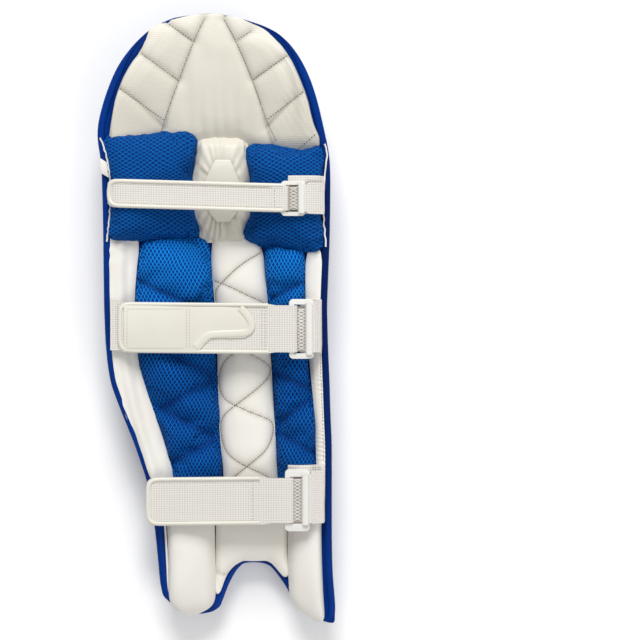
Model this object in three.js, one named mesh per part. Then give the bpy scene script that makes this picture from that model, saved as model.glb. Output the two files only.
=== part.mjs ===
// Cricket batting pad, lying on its blue front face with the leg side and the straps up.
// Millimetres. X runs across the pad, Y from the feet to the thigh, Z up from the floor.
import * as THREE from "three";

// Driving dimensions
const STACK_GAP = 0.5; // between a pad and what it is sewn on
const SEAM_GAP = 1.2; // between two pads sewn side by side
const SHELL_THICKNESS = 6; // blue facing with its foam board
const PAD_EDGE = 3; // height of a pad at its sewn edge
const KNEE_ROLL_DEPTH = 32;
const SHIN_ROLL_DEPTH = 18;
const THIGH_FLUTE_DEPTH = 13;
const INSTEP_DEPTH = 22;
const LABEL_SIZE = 53;
const LABEL_THICKNESS = 1.2;
const SEWN_LIFT = 0.3; // between a flat sewn-on piece and what carries it
const WEBBING = 2; // thickness of one strap layer
const LAYER_GAP = 0.5; // between two layers of strap, and between strap and ring
const RING = { bar: 6, slot: 17, thickness: 3.6, corner: 5 };
const STRAP_REST = 0.5; // straps over the pads that they lie on
const PATCH_THICKNESS = 1.6;

const COLOURS = {
  blue_leather: { color: 0x053ca5, roughness: 0.38 },
  blue_mesh: { color: 0x1260b4, roughness: 0.85 },
  white_leather: { color: 0xe8e5db, roughness: 0.5 },
  white_webbing: { color: 0xebe6de, roughness: 0.9 },
  white_plastic: { color: 0xf0efec, roughness: 0.3 },
};

// Every column of a table becomes a smooth function of its key column, with no overshoot.
function smoothTable(key, table) {
  const rows = [...table].sort((a, b) => a[key] - b[key]);
  const names = Object.keys(rows[0]).filter((name) => name !== key);
  const steps = rows.slice(1).map((row, i) => row[key] - rows[i][key]);
  const slopes = {};
  for (const name of names) {
    const secants = steps.map((step, i) => (rows[i + 1][name] - rows[i][name]) / step);
    slopes[name] = rows.map((_, i) => {
      if (i === 0) return secants[0];
      if (i === rows.length - 1) return secants[i - 1];
      const [before, after] = [secants[i - 1], secants[i]];
      return before * after <= 0 ? 0 : (2 * before * after) / (before + after);
    });
  }
  return (value) => {
    const clamped = Math.min(Math.max(value, rows[0][key]), rows.at(-1)[key]);
    let i = 0;
    while (i < steps.length - 1 && clamped > rows[i + 1][key]) i++;
    const t = (clamped - rows[i][key]) / steps[i];
    const [t2, t3] = [t * t, t * t * t];
    const found = {};
    for (const name of names) {
      found[name] =
        rows[i][name] * (2 * t3 - 3 * t2 + 1) +
        rows[i + 1][name] * (3 * t2 - 2 * t3) +
        steps[i] * (slopes[name][i] * (t3 - 2 * t2 + t) + slopes[name][i + 1] * (t3 - t2));
    }
    return found;
  };
}

// Outline of the blue facing
const OUTLINE = smoothTable("y", [
  { y: 360, left: -20, right: 2 },
  { y: 356, left: -50, right: 25 },
  { y: 351, left: -62, right: 43 },
  { y: 345, left: -72.5, right: 59 },
  { y: 338, left: -82.5, right: 72.5 },
  { y: 328, left: -93, right: 84 },
  { y: 314, left: -105, right: 95 },
  { y: 298, left: -115.5, right: 104 },
  { y: 278, left: -124.5, right: 112.5 },
  { y: 255, left: -132.5, right: 119.5 },
  { y: 231, left: -138.5, right: 125 },
  { y: 219, left: -140, right: 127.5 },
  { y: 207, left: -138.5, right: 130.5 },
  { y: 193, left: -135.5, right: 133 },
  { y: 175, left: -134, right: 134 },
  { y: 87, left: -132, right: 133 },
  { y: 16, left: -131.5, right: 130 },
  { y: -27, left: -130, right: 131 },
  { y: -71, left: -125, right: 133 },
  { y: -109, left: -111.5, right: 134 },
  { y: -146, left: -96.5, right: 135.7 },
  { y: -189, left: -82, right: 135.7 },
  { y: -243, left: -73, right: 135.7 },
  { y: -298, left: -67.7, right: 136.5 },
  { y: -317, left: -66, right: 138 },
  { y: -328, left: -63.8, right: 139 },
  { y: -338, left: -58.7, right: 140 },
  { y: -360, left: -52, right: 140 },
]);

// Lower edge: left foot, arch over the instep, right foot
const FOOT_EDGE = smoothTable("x", [
  { x: -66, y: -327 },
  { x: -59, y: -338.5 },
  { x: -52.6, y: -342.3 },
  { x: -43.6, y: -346.8 },
  { x: -31, y: -350 },
  { x: -20, y: -348.7 },
  { x: -6, y: -345 },
  { x: 0, y: -338 },
  { x: 6, y: -327.5 },
  { x: 13.6, y: -312.5 },
  { x: 21, y: -300.5 },
  { x: 30, y: -289.5 },
  { x: 36, y: -285.5 },
  { x: 46, y: -284.8 },
  { x: 57, y: -284.8 },
  { x: 62, y: -286.5 },
  { x: 69, y: -296 },
  { x: 77, y: -307 },
  { x: 83.6, y: -319 },
  { x: 86, y: -329 },
  { x: 90.5, y: -337 },
  { x: 96.5, y: -344.3 },
  { x: 105.5, y: -350.5 },
  { x: 117.5, y: -356.5 },
  { x: 128, y: -359 },
  { x: 135, y: -360 },
  { x: 138.5, y: -356 },
  { x: 140, y: -348 },
]);

// Board surface between the front and the leg side: height over the floor along the leg's line,
// and how far the wings stand up at the outline
const BOARD = smoothTable("y", [
  { y: 360, centre: -3, height: 62, rise: 0 },
  { y: 345, centre: -3, height: 58, rise: 7 },
  { y: 315, centre: -2, height: 51, rise: 15 },
  { y: 285, centre: 0, height: 46, rise: 21 },
  { y: 222, centre: 2, height: 37, rise: 29 },
  { y: 95, centre: 4, height: 36.5, rise: 30 },
  { y: -60, centre: 22, height: 31, rise: 27 },
  { y: -230, centre: 38, height: 27, rise: 22 },
  { y: -360, centre: 46, height: 26, rise: 16 },
]);
const WING_POWER = 2.4;

function board(x, y) {
  const { centre, height, rise } = BOARD(y);
  const { left, right } = OUTLINE(y);
  const reach = x < centre ? centre - left : right - centre;
  return height + rise * Math.pow(Math.min(Math.abs(x - centre) / reach, 1.05), WING_POWER);
}
const legSide = (x, y) => board(x, y) + STACK_GAP;
const frontSide = (x, y) => board(x, y) - SHELL_THICKNESS - STACK_GAP;

function signedVolume(points, triangles) {
  let volume = 0;
  for (let i = 0; i < triangles.length; i += 3) {
    const [a, b, c] = [points[triangles[i]], points[triangles[i + 1]], points[triangles[i + 2]]];
    volume += a.dot(new THREE.Vector3().crossVectors(b, c)) / 6;
  }
  return volume;
}

// Triangles between two rows of points that run the same way, which may differ in count
function zipRows(outer, inner) {
  const triangles = [];
  let [i, j] = [0, 0];
  while (i + 1 < outer.length || j + 1 < inner.length) {
    const outerNext = (i + 1) / (outer.length - 1);
    const innerNext = (j + 1) / (inner.length - 1);
    if (j + 1 >= inner.length || (i + 1 < outer.length && outerNext <= innerNext)) {
      triangles.push([outer[i], inner[j], outer[i + 1]]);
      i++;
    } else {
      triangles.push([outer[i], inner[j], inner[j + 1]]);
      j++;
    }
  }
  return triangles;
}

// Closed body through rings of equal size. A ring has an outer and an inner row of points.
function loft(rings) {
  const loops = rings.map(({ outer, inner }) => [...outer, ...inner.toReversed()]);
  const size = loops[0].length;
  const points = loops.flat();
  const triangles = [];
  for (let i = 0; i + 1 < loops.length; i++) {
    for (let j = 0; j < size; j++) {
      const a = i * size + j;
      const b = i * size + ((j + 1) % size);
      triangles.push(a, b, a + size, b, b + size, a + size);
    }
  }
  const outerCount = rings[0].outer.length;
  for (const start of [0, points.length - size]) {
    const outer = Array.from({ length: outerCount }, (_, i) => start + i);
    const inner = Array.from({ length: size - outerCount }, (_, i) => start + size - 1 - i);
    for (const [a, b, c] of zipRows(outer, inner)) {
      triangles.push(...(start === 0 ? [a, b, c] : [a, c, b]));
    }
  }
  if (signedVolume(points, triangles) < 0) triangles.reverse();
  const body = new THREE.BufferGeometry().setFromPoints(points);
  body.setIndex(triangles);
  body.computeVertexNormals();
  return body;
}

const crownShape = (t, power) => Math.sqrt(Math.max(0, 1 - Math.pow(Math.abs(2 * t - 1), power)));
const spread = (i, count) => 0.5 * (i / count) + 0.25 * (1 - Math.cos((Math.PI * i) / count));

// Padded piece on a base surface. Each section runs from (ax, ay) to (bx, by) under its crown.
function cushion(sections, options) {
  const shape = {
    base: legSide, up: 1, along: 10, across: 8, under: 2, edge: PAD_EDGE, corner: 6,
    side: 2.6, ends: 4, floor: 0, sink: () => 0, ...options,
  };
  let length = 0;
  const rows = sections.map((row, i) => {
    const last = sections[Math.max(i - 1, 0)];
    length += Math.hypot(row.ax + row.bx - last.ax - last.bx, row.ay + row.by - last.ay - last.by) / 2;
    return { at: length, ...row };
  });
  const section = smoothTable("at", rows);
  const rings = [];
  for (let i = 0; i <= shape.along; i++) {
    const t = spread(i, shape.along);
    const { ax, ay, bx, by, crown } = section(t * length);
    const toEnd = Math.min(t, 1 - t) * length;
    const short = Math.max(0, shape.corner - toEnd);
    const width = Math.hypot(bx - ax, by - ay);
    const inset = (shape.corner - Math.sqrt(shape.corner ** 2 - short ** 2)) / width;
    const place = (s) => {
      const across = inset + s * (1 - 2 * inset);
      return [ax + (bx - ax) * across, ay + (by - ay) * across];
    };
    const swell = crown * crownShape(t, shape.ends);
    const outer = [];
    for (let j = 0; j <= shape.across; j++) {
      const s = spread(j, shape.across);
      const [x, y] = place(s);
      const height = shape.edge + (swell - shape.sink(x, y)) * crownShape(s, shape.side);
      const z = shape.base(x, y) + shape.up * Math.max(height, shape.edge);
      outer.push(new THREE.Vector3(x, y, Math.max(z, shape.floor)));
    }
    const inner = [];
    for (let j = 0; j <= shape.under; j++) {
      const [x, y] = place(j / shape.under);
      inner.push(new THREE.Vector3(x, y, shape.base(x, y)));
    }
    rings.push({ outer, inner });
  }
  return loft(rings);
}

// Valley that a quilting seam pulls into a pad: a zigzag through the table's points
function seamValley(points, depth, width) {
  return (x, y) => {
    let nearest = Infinity;
    for (let i = 0; i + 1 < points.length; i++) {
      const [a, b] = [points[i], points[i + 1]];
      const [dx, dy] = [b.x - a.x, b.y - a.y];
      const t = ((x - a.x) * dx + (y - a.y) * dy) / (dx * dx + dy * dy);
      const k = Math.min(Math.max(t, 0), 1);
      nearest = Math.min(nearest, Math.hypot(x - a.x - k * dx, y - a.y - k * dy));
    }
    return depth * Math.exp(-((nearest / width) ** 2));
  };
}

const pad = new THREE.Group();
function addPiece(name, finish, geometry) {
  const mesh = new THREE.Mesh(geometry, new THREE.MeshStandardMaterial({ metalness: 0, ...COLOURS[finish] }));
  mesh.name = name;
  pad.add(mesh);
  return mesh;
}

// Blue facing on its board, from the thigh to the feet, hollowed along the leg
const SHELL_ROWS = [
  359.5, 356, 347, 338, 326, 313, 299, 284, 264, 245, 228, 212, 193, 172, 134, 94,
  55, 16, -27, -52, -76, -110, -146, -190, -230,
];
const FOOT_TURNS = [-66, -59, -46, -31, -14, -2, 8, 21, 34, 46, 59, 70, 83, 88, 98, 112, 128, 136, 138];
const FOOT_ROWS = 6;
const FOOT_WIDTH_AT = -317; // height at which the columns lie on the turns of the feet and the arch
function facingShell() {
  const feet = OUTLINE(FOOT_WIDTH_AT);
  const columns = FOOT_TURNS.map((x) => (x - feet.left) / (feet.right - feet.left));
  const rowAt = (heightOf, depth) =>
    columns.map((s) => {
      const y = heightOf(s);
      const { left, right } = OUTLINE(y);
      const x = left + (right - left) * s;
      return new THREE.Vector3(x, y, board(x, y) - depth);
    });
  const footEdge = (s) => FOOT_EDGE(feet.left + (feet.right - feet.left) * s).y;
  const heights = SHELL_ROWS.map((y) => () => y);
  const start = SHELL_ROWS.at(-1);
  for (let i = 1; i <= FOOT_ROWS; i++) {
    heights.push((s) => start + ((footEdge(s) - start) * i) / FOOT_ROWS);
  }
  return loft(heights.map((row) => ({ outer: rowAt(row, 0), inner: rowAt(row, SHELL_THICKNESS) })));
}

// The front's rolls meet the knee along an arch, which drops towards both edges
const KNEE_ARCH = 9;
const KNEE_LEFT = -130;
const KNEE_RIGHT = 126;
const kneeDrop = (x) => KNEE_ARCH * (x / KNEE_RIGHT) ** 2;

// Vertical rolls of the shin, each with a puffed head under the knee
const SHIN_HEAD = 95;
const INSTEP_TOP = -202;
const SHIN_ROLLS = [
  { left: 87, right: 117.5, leftLow: 88, rightLow: 120, foot: -347 },
  { left: 54, right: 86.5, leftLow: 54, rightLow: 86, foot: INSTEP_TOP + 1 },
  { left: 21, right: 53.5, leftLow: 21, rightLow: 53.5, foot: INSTEP_TOP + 1 },
  { left: -10.4, right: 20.5, leftLow: -11, rightLow: 20.5, foot: INSTEP_TOP + 1 },
  { left: -44, right: -11, leftLow: -43, rightLow: -12, foot: -340 },
  { left: -70, right: -44.8, leftLow: -61, rightLow: -43.8, foot: -330 },
  { left: -97, right: -70.8, leftLow: -79, rightLow: -72, foot: -178 },
];
const HEAD_PUFF = [
  { down: 0, swell: 1 },
  { down: 18, swell: 1.12 },
  { down: 40, swell: 0.8 },
  { down: 62, swell: 1 },
];
function shinRoll({ left, right, leftLow, rightLow, foot }) {
  const head = SHIN_HEAD - kneeDrop(Math.max(Math.abs(left), Math.abs(right)));
  const length = head - foot;
  const rows = [...HEAD_PUFF, { down: length * 0.6, swell: 1 }, { down: length, swell: 1 }];
  const sections = rows.map(({ down, swell }) => {
    const y = head - down;
    const low = down / length;
    const edge = OUTLINE(y).left + 5;
    return {
      ax: Math.max(left + (leftLow - left) * low, edge),
      ay: y,
      bx: right + (rightLow - right) * low,
      by: y,
      crown: (SHIN_ROLL_DEPTH - PAD_EDGE) * swell,
    };
  });
  return cushion(sections, { base: frontSide, up: -1, along: 11, across: 6, ends: 12, side: 2.2 });
}

// Three rolls across the knee, arched a little upward, flattened where they carry the pad
const KNEE_ROLLS = [
  { name: "knee_roll_upper", low: 181, high: 226 },
  { name: "knee_roll_middle", low: 145, high: 180 },
  { name: "knee_roll_lower", low: 99, high: 144 },
];
function kneeRoll({ low, high }) {
  const sections = [];
  for (let i = 0; i <= 8; i++) {
    const x = KNEE_LEFT + ((KNEE_RIGHT - KNEE_LEFT) * i) / 8;
    const drop = kneeDrop(x);
    sections.push({ ax: x, ay: low - drop, bx: x, by: high - drop, crown: KNEE_ROLL_DEPTH - PAD_EDGE });
  }
  return cushion(sections, { base: frontSide, up: -1, along: 14, across: 7, ends: 10, side: 2.3 });
}

// Flutes of the thigh flap and its two plain sides, fanning out towards the top
const THIGH_LOW = 231;
const FLUTE_PUFF = [
  { at: 0, swell: 1 },
  { at: 0.18, swell: 1.15 },
  { at: 0.5, swell: 0.85 },
  { at: 0.84, swell: 1.1 },
  { at: 1, swell: 1 },
];
const THIGH_SIDE = { crown: 7, rim: 9, short: 12, spread: 1.05 };
const THIGH_SEAMS = [
  { low: -80, high: -57, top: 327 },
  { low: -52, high: -28, top: 343 },
  { low: -19.5, high: 3, top: 348 },
  { low: 17, high: 36, top: 342 },
  { low: 50, high: 65, top: 327 },
];
function thighFlute(seam, next) {
  const sections = FLUTE_PUFF.map(({ at, swell }) => ({
    ax: seam.low + (seam.high - seam.low) * at + SEAM_GAP / 3,
    ay: THIGH_LOW + (seam.top - THIGH_LOW) * at,
    bx: next.low + (next.high - next.low) * at - SEAM_GAP / 3,
    by: THIGH_LOW + (next.top - THIGH_LOW) * at,
    crown: (THIGH_FLUTE_DEPTH - PAD_EDGE) * swell,
  }));
  return cushion(sections, { base: frontSide, up: -1, along: 8, across: 6, ends: 8 });
}
function thighSide(seam, direction) {
  const sections = [0, 0.25, 0.5, 0.75, 1].map((t) => {
    const height = (seam.top - THIGH_SIDE.short - THIGH_LOW) * t;
    const inner = { y: THIGH_LOW + height };
    const outer = { y: THIGH_LOW - kneeDrop(KNEE_RIGHT) + height * THIGH_SIDE.spread };
    const along = height / (seam.top - THIGH_LOW);
    inner.x = seam.low + (seam.high - seam.low) * along + direction * SEAM_GAP;
    const { left, right } = OUTLINE(outer.y);
    outer.x = direction < 0 ? left + THIGH_SIDE.rim : right - THIGH_SIDE.rim;
    const [a, b] = direction < 0 ? [outer, inner] : [inner, outer];
    return { ax: a.x, ay: a.y, bx: b.x, by: b.y, crown: THIGH_SIDE.crown };
  });
  return cushion(sections, {
    base: frontSide, up: -1, along: 7, across: 6, under: 6, ends: 6, side: 5, corner: 10,
  });
}

// Wing and edge strip beside the shin rolls. Their inner edges lean with the rolls.
const WING = { rim: 6, head: -97.8, lean: 0.065, narrowest: 3, crown: 5 };
function wingFront() {
  const sections = [90, 40, -20, -70, -110, -150].map((y) => {
    const edge = OUTLINE(y).left + WING.rim;
    const inner = WING.head + (SHIN_HEAD - y) * WING.lean;
    return { ax: edge, ay: y, bx: Math.max(inner, edge + WING.narrowest), by: y, crown: WING.crown };
  });
  return cushion(sections, { base: frontSide, up: -1, along: 9, across: 4, corner: 3, ends: 8 });
}
const STRIP = { rim: 4, head: 118.4, lean: 0.0057, crown: 5 };
function edgeStrip() {
  const sections = [88, 0, -120, -240, -330, -350].map((y) => {
    const inner = STRIP.head + (SHIN_HEAD - y) * STRIP.lean;
    return { ax: inner, ay: y, bx: OUTLINE(y).right - STRIP.rim, by: y, crown: STRIP.crown };
  });
  return cushion(sections, { base: frontSide, up: -1, along: 12, across: 3, under: 1, corner: 3, ends: 10 });
}

// Padded panel over the instep, with its bare label sewn on flat
const INSTEP_COLUMNS = [-11, 6, 22, 38, 54, 70, 86];
const INSTEP_RIM = 7; // bare facing between the panel and the arch
const INSTEP_LOWEST = -318;
const INSTEP_FLOOR = LABEL_THICKNESS + SEWN_LIFT;
const LABEL_PLACE = { x: 36, y: -244 };
function instepPanel() {
  const sections = INSTEP_COLUMNS.map((x) => {
    const low = Math.max(FOOT_EDGE(x).y + INSTEP_RIM, INSTEP_LOWEST);
    return { ax: x, ay: low, bx: x, by: INSTEP_TOP, crown: INSTEP_DEPTH - PAD_EDGE };
  });
  return cushion(sections, {
    base: frontSide, up: -1, along: 9, across: 8, ends: 5, side: 5, floor: INSTEP_FLOOR,
  });
}
function frontLabel() {
  const label = new THREE.BoxGeometry(LABEL_SIZE, LABEL_SIZE, LABEL_THICKNESS);
  return label.translate(LABEL_PLACE.x, LABEL_PLACE.y, LABEL_THICKNESS / 2);
}

// Crowns of the pads on the leg side
const CROWN = {
  thighLining: 7, shinBolsterLeft: 22, shinBolsterRight: 21, shinPad: 13,
  sideLiningLeft: 3, sideLiningRight: 2, instepLining: 7,
};

// Quilted lining of the thigh flap, in columns from the seam over the knee up to the dome's edge
const THIGH_COLUMNS = [
  { x: -129, low: 216, high: 231 },
  { x: -121, low: 216.8, high: 262 },
  { x: -104, low: 218.2, high: 304 },
  { x: -82, low: 220, high: 331.5 },
  { x: -62, low: 221.6, high: 346 },
  { x: -31, low: 224.4, high: 355 },
  { x: -24, low: 220.5, high: 356.5 },
  { x: -18, low: 211.8, high: 357 },
  { x: -5, low: 211.8, high: 357.5 },
  { x: 22, low: 211.8, high: 353.5 },
  { x: 33, low: 212, high: 350 },
  { x: 42, low: 212.4, high: 346 },
  { x: 64, low: 211.2, high: 335 },
  { x: 83, low: 210.2, high: 317 },
  { x: 104, low: 209, high: 274 },
  { x: 113, low: 208.6, high: 246 },
  { x: 119, low: 208.4, high: 224 },
];
function thighLining() {
  const crown = CROWN.thighLining;
  const sections = THIGH_COLUMNS.map(({ x, low, high }) => ({ ax: x, ay: low, bx: x, by: high, crown }));
  return cushion(sections, { along: 19, across: 8, under: 3, side: 7, ends: 12, corner: 1, edge: 2 });
}

// Pads round the knee
const KNEE_BOLSTER_LEFT = [
  { ax: -134, ay: 214, bx: -30, by: 223, crown: 22 },
  { ax: -131, ay: 193, bx: -23, by: 207, crown: 27 },
  { ax: -127, ay: 172, bx: -28, by: 178, crown: 27 },
  { ax: -124, ay: 147, bx: -28, by: 148, crown: 27 },
  { ax: -125, ay: 118, bx: -26, by: 126, crown: 27 },
  { ax: -127, ay: 100, bx: -20, by: 105, crown: 25 },
  { ax: -127, ay: 93, bx: -21, by: 93, crown: 20 },
];
const KNEE_BOLSTER_RIGHT = [
  { ax: 37, ay: 211, bx: 127, by: 206, crown: 22 },
  { ax: 34, ay: 200, bx: 127, by: 193, crown: 27 },
  { ax: 38, ay: 161, bx: 126, by: 165, crown: 27 },
  { ax: 39, ay: 127, bx: 124, by: 125, crown: 27 },
  { ax: 31, ay: 104, bx: 127, by: 96, crown: 25 },
  { ax: 42, ay: 88, bx: 125, by: 79, crown: 21 },
];
const KNEE_PAD = [
  { ax: -21, ay: 210, bx: 34, by: 210, crown: 9 },
  { ax: -21, ay: 200, bx: 32.6, by: 200, crown: 11 },
  { ax: -26.3, ay: 160, bx: 36.6, by: 160, crown: 14 },
  { ax: -24.3, ay: 127, bx: 37.4, by: 127, crown: 13 },
  { ax: -17.6, ay: 103, bx: 29.4, by: 103, crown: 10 },
  { ax: -18.5, ay: 96, bx: 31, by: 96, crown: 8 },
];
const KNEE_PATCH = [
  { ax: -2, ay: 189, bx: 16, by: 189, crown: 1.5 },
  { ax: -15, ay: 160, bx: 28, by: 160, crown: 2 },
  { ax: -9, ay: 127, bx: 24, by: 127, crown: 2 },
  { ax: 0, ay: 116, bx: 15, by: 116, crown: 2 },
];
const KNEE_PAD_SHAPE = { side: 3.5, ends: 4 };
const KNEE_PATCH_LIFT = 0.6; // patch over the knee pad
const kneePadRow = smoothTable("ay", KNEE_PAD);
function kneePatchSeat(x, y) {
  const { ax, bx, crown } = kneePadRow(y);
  const [top, bottom] = [KNEE_PAD[0].ay, KNEE_PAD.at(-1).ay];
  const swell = crownShape((top - y) / (top - bottom), KNEE_PAD_SHAPE.ends);
  const side = crownShape((x - ax) / (bx - ax), KNEE_PAD_SHAPE.side);
  return legSide(x, y) + PAD_EDGE + crown * swell * side + KNEE_PATCH_LIFT;
}

// Pads along the shin. Neighbours share one seam line, given by its X at each height.
const SHIN_SEAMS = smoothTable("y", [
  { y: 92, wing: -88, left: -7.5, right: 55, edge: 104 },
  { y: 54, wing: -93, left: -5, right: 57, edge: 104 },
  { y: 24, wing: -95, left: -2, right: 60, edge: 104 },
  { y: -40, wing: -92, left: 1, right: 63, edge: 107.5 },
  { y: -106, wing: -74, left: 2.5, right: 67, edge: 114 },
  { y: -137, wing: -64, left: 3.5, right: 68.5, edge: 116 },
  { y: -184, wing: -51, left: 8, right: 71, edge: 116.5 },
  { y: -214, wing: -46, left: 8, right: 73, edge: 117 },
]);
function between(heights, leftOf, rightOf, crown) {
  return heights.map((y) => ({ ax: leftOf(y), ay: y, bx: rightOf(y), by: y, crown }));
}
const SHIN_END = -213;
const SHIN_HEIGHTS = [54, 24, -40, -106, -137, -184, SHIN_END];
const ZIGZAG_LEFT = [
  { x: -93, y: 47 },
  { x: -2, y: 5 },
  { x: -96, y: -15 },
  { x: 0, y: -69 },
  { x: -67, y: -105 },
  { x: 1, y: -140 },
  { x: -52, y: -166 },
  { x: 6, y: -200 },
];
const ZIGZAG_RIGHT = [
  { x: 103, y: 46 },
  { x: 60, y: 24 },
  { x: 104, y: -20 },
  { x: 68, y: -64 },
  { x: 112, y: -88 },
  { x: 70, y: -122 },
  { x: 115, y: -158 },
  { x: 74, y: -190 },
];
const QUILT_DEPTH = 7;
const QUILT_WIDTH = 9;

function shinBolsterLeft() {
  const heights = [91.5, ...SHIN_HEIGHTS];
  const inner = (y) => SHIN_SEAMS(y).left - SEAM_GAP;
  const sections = between(heights, (y) => SHIN_SEAMS(y).wing, inner, CROWN.shinBolsterLeft);
  const sink = seamValley(ZIGZAG_LEFT, QUILT_DEPTH, QUILT_WIDTH);
  return cushion(sections, { along: 20, across: 8, under: 4, ends: 12, sink });
}
function shinBolsterRight() {
  const crown = CROWN.shinBolsterRight;
  const head = { ax: SHIN_SEAMS(84).right + SEAM_GAP, ay: 84, bx: SHIN_SEAMS(79).edge, by: 79, crown };
  const rows = between(SHIN_HEIGHTS, (y) => SHIN_SEAMS(y).right + SEAM_GAP, (y) => SHIN_SEAMS(y).edge, crown);
  const sections = [head, ...rows];
  const sink = seamValley(ZIGZAG_RIGHT, QUILT_DEPTH, QUILT_WIDTH);
  return cushion(sections, { along: 20, across: 6, under: 3, ends: 12, sink });
}
function shinPad() {
  const crown = CROWN.shinPad;
  const head = { ax: SHIN_SEAMS(92).left, ay: 94, bx: SHIN_SEAMS(84).right, by: 84.5, crown };
  const rows = between(SHIN_HEIGHTS, (y) => SHIN_SEAMS(y).left, (y) => SHIN_SEAMS(y).right, crown);
  const sections = [head, ...rows];
  return cushion(sections, { along: 12, across: 7, under: 2, ends: 12, side: 2.4 });
}
const SIDE_RIM = { left: 6, leftTaper: 3.5, right: 7, taperBelow: -100 };
function sideLiningLeft() {
  const heights = [91.5, 54, 20, -40, -75, -109, -140, -173, -195];
  const rim = (y) => OUTLINE(y).left + (y > SIDE_RIM.taperBelow ? SIDE_RIM.left : SIDE_RIM.leftTaper);
  const sections = between(heights, rim, (y) => SHIN_SEAMS(y).wing - SEAM_GAP, CROWN.sideLiningLeft);
  return cushion(sections, { along: 12, across: 4, under: 4, ends: 10, side: 4, corner: 3, edge: 2 });
}
function sideLiningRight() {
  const heights = [78, 24, -40, -106, -160, SHIN_END];
  const rim = (y) => OUTLINE(y).right - SIDE_RIM.right;
  const sections = between(heights, (y) => SHIN_SEAMS(y).edge + SEAM_GAP, rim, CROWN.sideLiningRight);
  return cushion(sections, { along: 12, across: 3, under: 2, ends: 10, side: 4, corner: 3, edge: 2 });
}

// Pads of the feet and the lining over the instep
const FOOT_LEFT = [
  { ax: -60, ay: -217, bx: -3.5, by: -217, crown: 15 },
  { ax: -58, ay: -243, bx: -3, by: -243, crown: 16 },
  { ax: -56.5, ay: -290, bx: -2, by: -290, crown: 16 },
  { ax: -56.5, ay: -322, bx: -1.5, by: -322, crown: 15 },
  { ax: -54, ay: -335.5, bx: -3.5, by: -335.5, crown: 13 },
  { ax: -46, ay: -343, bx: -12, by: -343, crown: 10 },
  { ax: -38, ay: -346.5, bx: -23, by: -346.5, crown: 7 },
];
const FOOT_RIGHT = [
  { ax: 84.5, ay: -217, bx: 124, by: -217, crown: 15 },
  { ax: 84, ay: -250, bx: 123.5, by: -250, crown: 16 },
  { ax: 84.8, ay: -310, bx: 125, by: -310, crown: 16 },
  { ax: 88.5, ay: -328, bx: 126.3, by: -330, crown: 14 },
  { ax: 97, ay: -340.5, bx: 127.2, by: -344, crown: 11 },
  { ax: 107, ay: -348.5, bx: 127.6, by: -352.5, crown: 8 },
  { ax: 117, ay: -353.8, bx: 127, by: -356, crown: 6 },
];
const INSTEP_LINING_TOP = -217;
const INSTEP_LINING = [
  { x: -0.4, low: -318 },
  { x: 6.8, low: -308 },
  { x: 13.6, low: -297.5 },
  { x: 21, low: -291 },
  { x: 31, low: -285 },
  { x: 46, low: -283 },
  { x: 59, low: -283 },
  { x: 67, low: -289.5 },
  { x: 75, low: -297 },
  { x: 82.5, low: -303 },
];
function instepLining() {
  const crown = CROWN.instepLining;
  const by = INSTEP_LINING_TOP;
  const sections = INSTEP_LINING.map(({ x, low }) => ({ ax: x, ay: low, bx: x, by, crown }));
  return cushion(sections, { along: 9, across: 5, under: 3, ends: 6, side: 4 });
}

// Ribbon of webbing: stations along its path carry the middle of its thickness and its two edges.
function ribbon(stations, thickness) {
  const rings = stations.map((station, i) => {
    const before = stations[Math.max(i - 1, 0)];
    const after = stations[Math.min(i + 1, stations.length - 1)];
    const along = new THREE.Vector2(after.x - before.x, after.z - before.z).normalize();
    const [nx, nz] = [(-along.y * thickness) / 2, (along.x * thickness) / 2];
    const { x, z, low, high } = station;
    return {
      outer: [new THREE.Vector3(x + nx, low, z + nz), new THREE.Vector3(x + nx, high, z + nz)],
      inner: [new THREE.Vector3(x - nx, low, z - nz), new THREE.Vector3(x - nx, high, z - nz)],
    };
  });
  return loft(rings);
}

// Lowest path that a taut band takes over what lies under it, between two heights
function tautOver(pieces, low, high, start, end) {
  const REACH = 16;
  const peaks = [start, end];
  for (const piece of pieces) {
    const place = piece.geometry.getAttribute("position");
    for (let i = 0; i < place.count; i++) {
      const [x, y, z] = [place.getX(i), place.getY(i), place.getZ(i)];
      const under = y > low - REACH && y < high + REACH && x > start.x && x < end.x;
      if (under) peaks.push({ x, z });
    }
  }
  return upperHull(peaks);
}
function upperHull(peaks) {
  const hull = [];
  for (const p of [...peaks].sort((a, b) => a.x - b.x || a.z - b.z)) {
    while (hull.length > 1) {
      const [a, b] = hull.slice(-2);
      const turnsLeft = (b.x - a.x) * (p.z - a.z) - (b.z - a.z) * (p.x - a.x) >= 0;
      if (!turnsLeft) break;
      hull.pop();
    }
    if (hull.length === 1 && p.x - hull[0].x < 1e-6) hull.pop();
    hull.push(p);
  }
  return hull;
}
function heightOn(hull, x) {
  const next = hull.findIndex((p) => p.x >= x);
  const i = next < 0 ? hull.length - 1 : Math.max(next, 1);
  const [a, b] = [hull[i - 1], hull[i]];
  return a.z + ((b.z - a.z) * (x - a.x)) / (b.x - a.x);
}

// Places along a hull from one X to another: its own corners, with long stretches divided
function placesOn(hull, from, to, longest) {
  const corners = hull.map((p) => p.x).filter((x) => x > from + 2 && x < to - 2);
  const places = [from];
  for (const x of [...corners, to]) {
    const last = places.at(-1);
    const parts = Math.max(1, Math.ceil((x - last) / longest));
    for (let i = 1; i <= parts; i++) places.push(last + ((x - last) * i) / parts);
  }
  return places;
}

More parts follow.
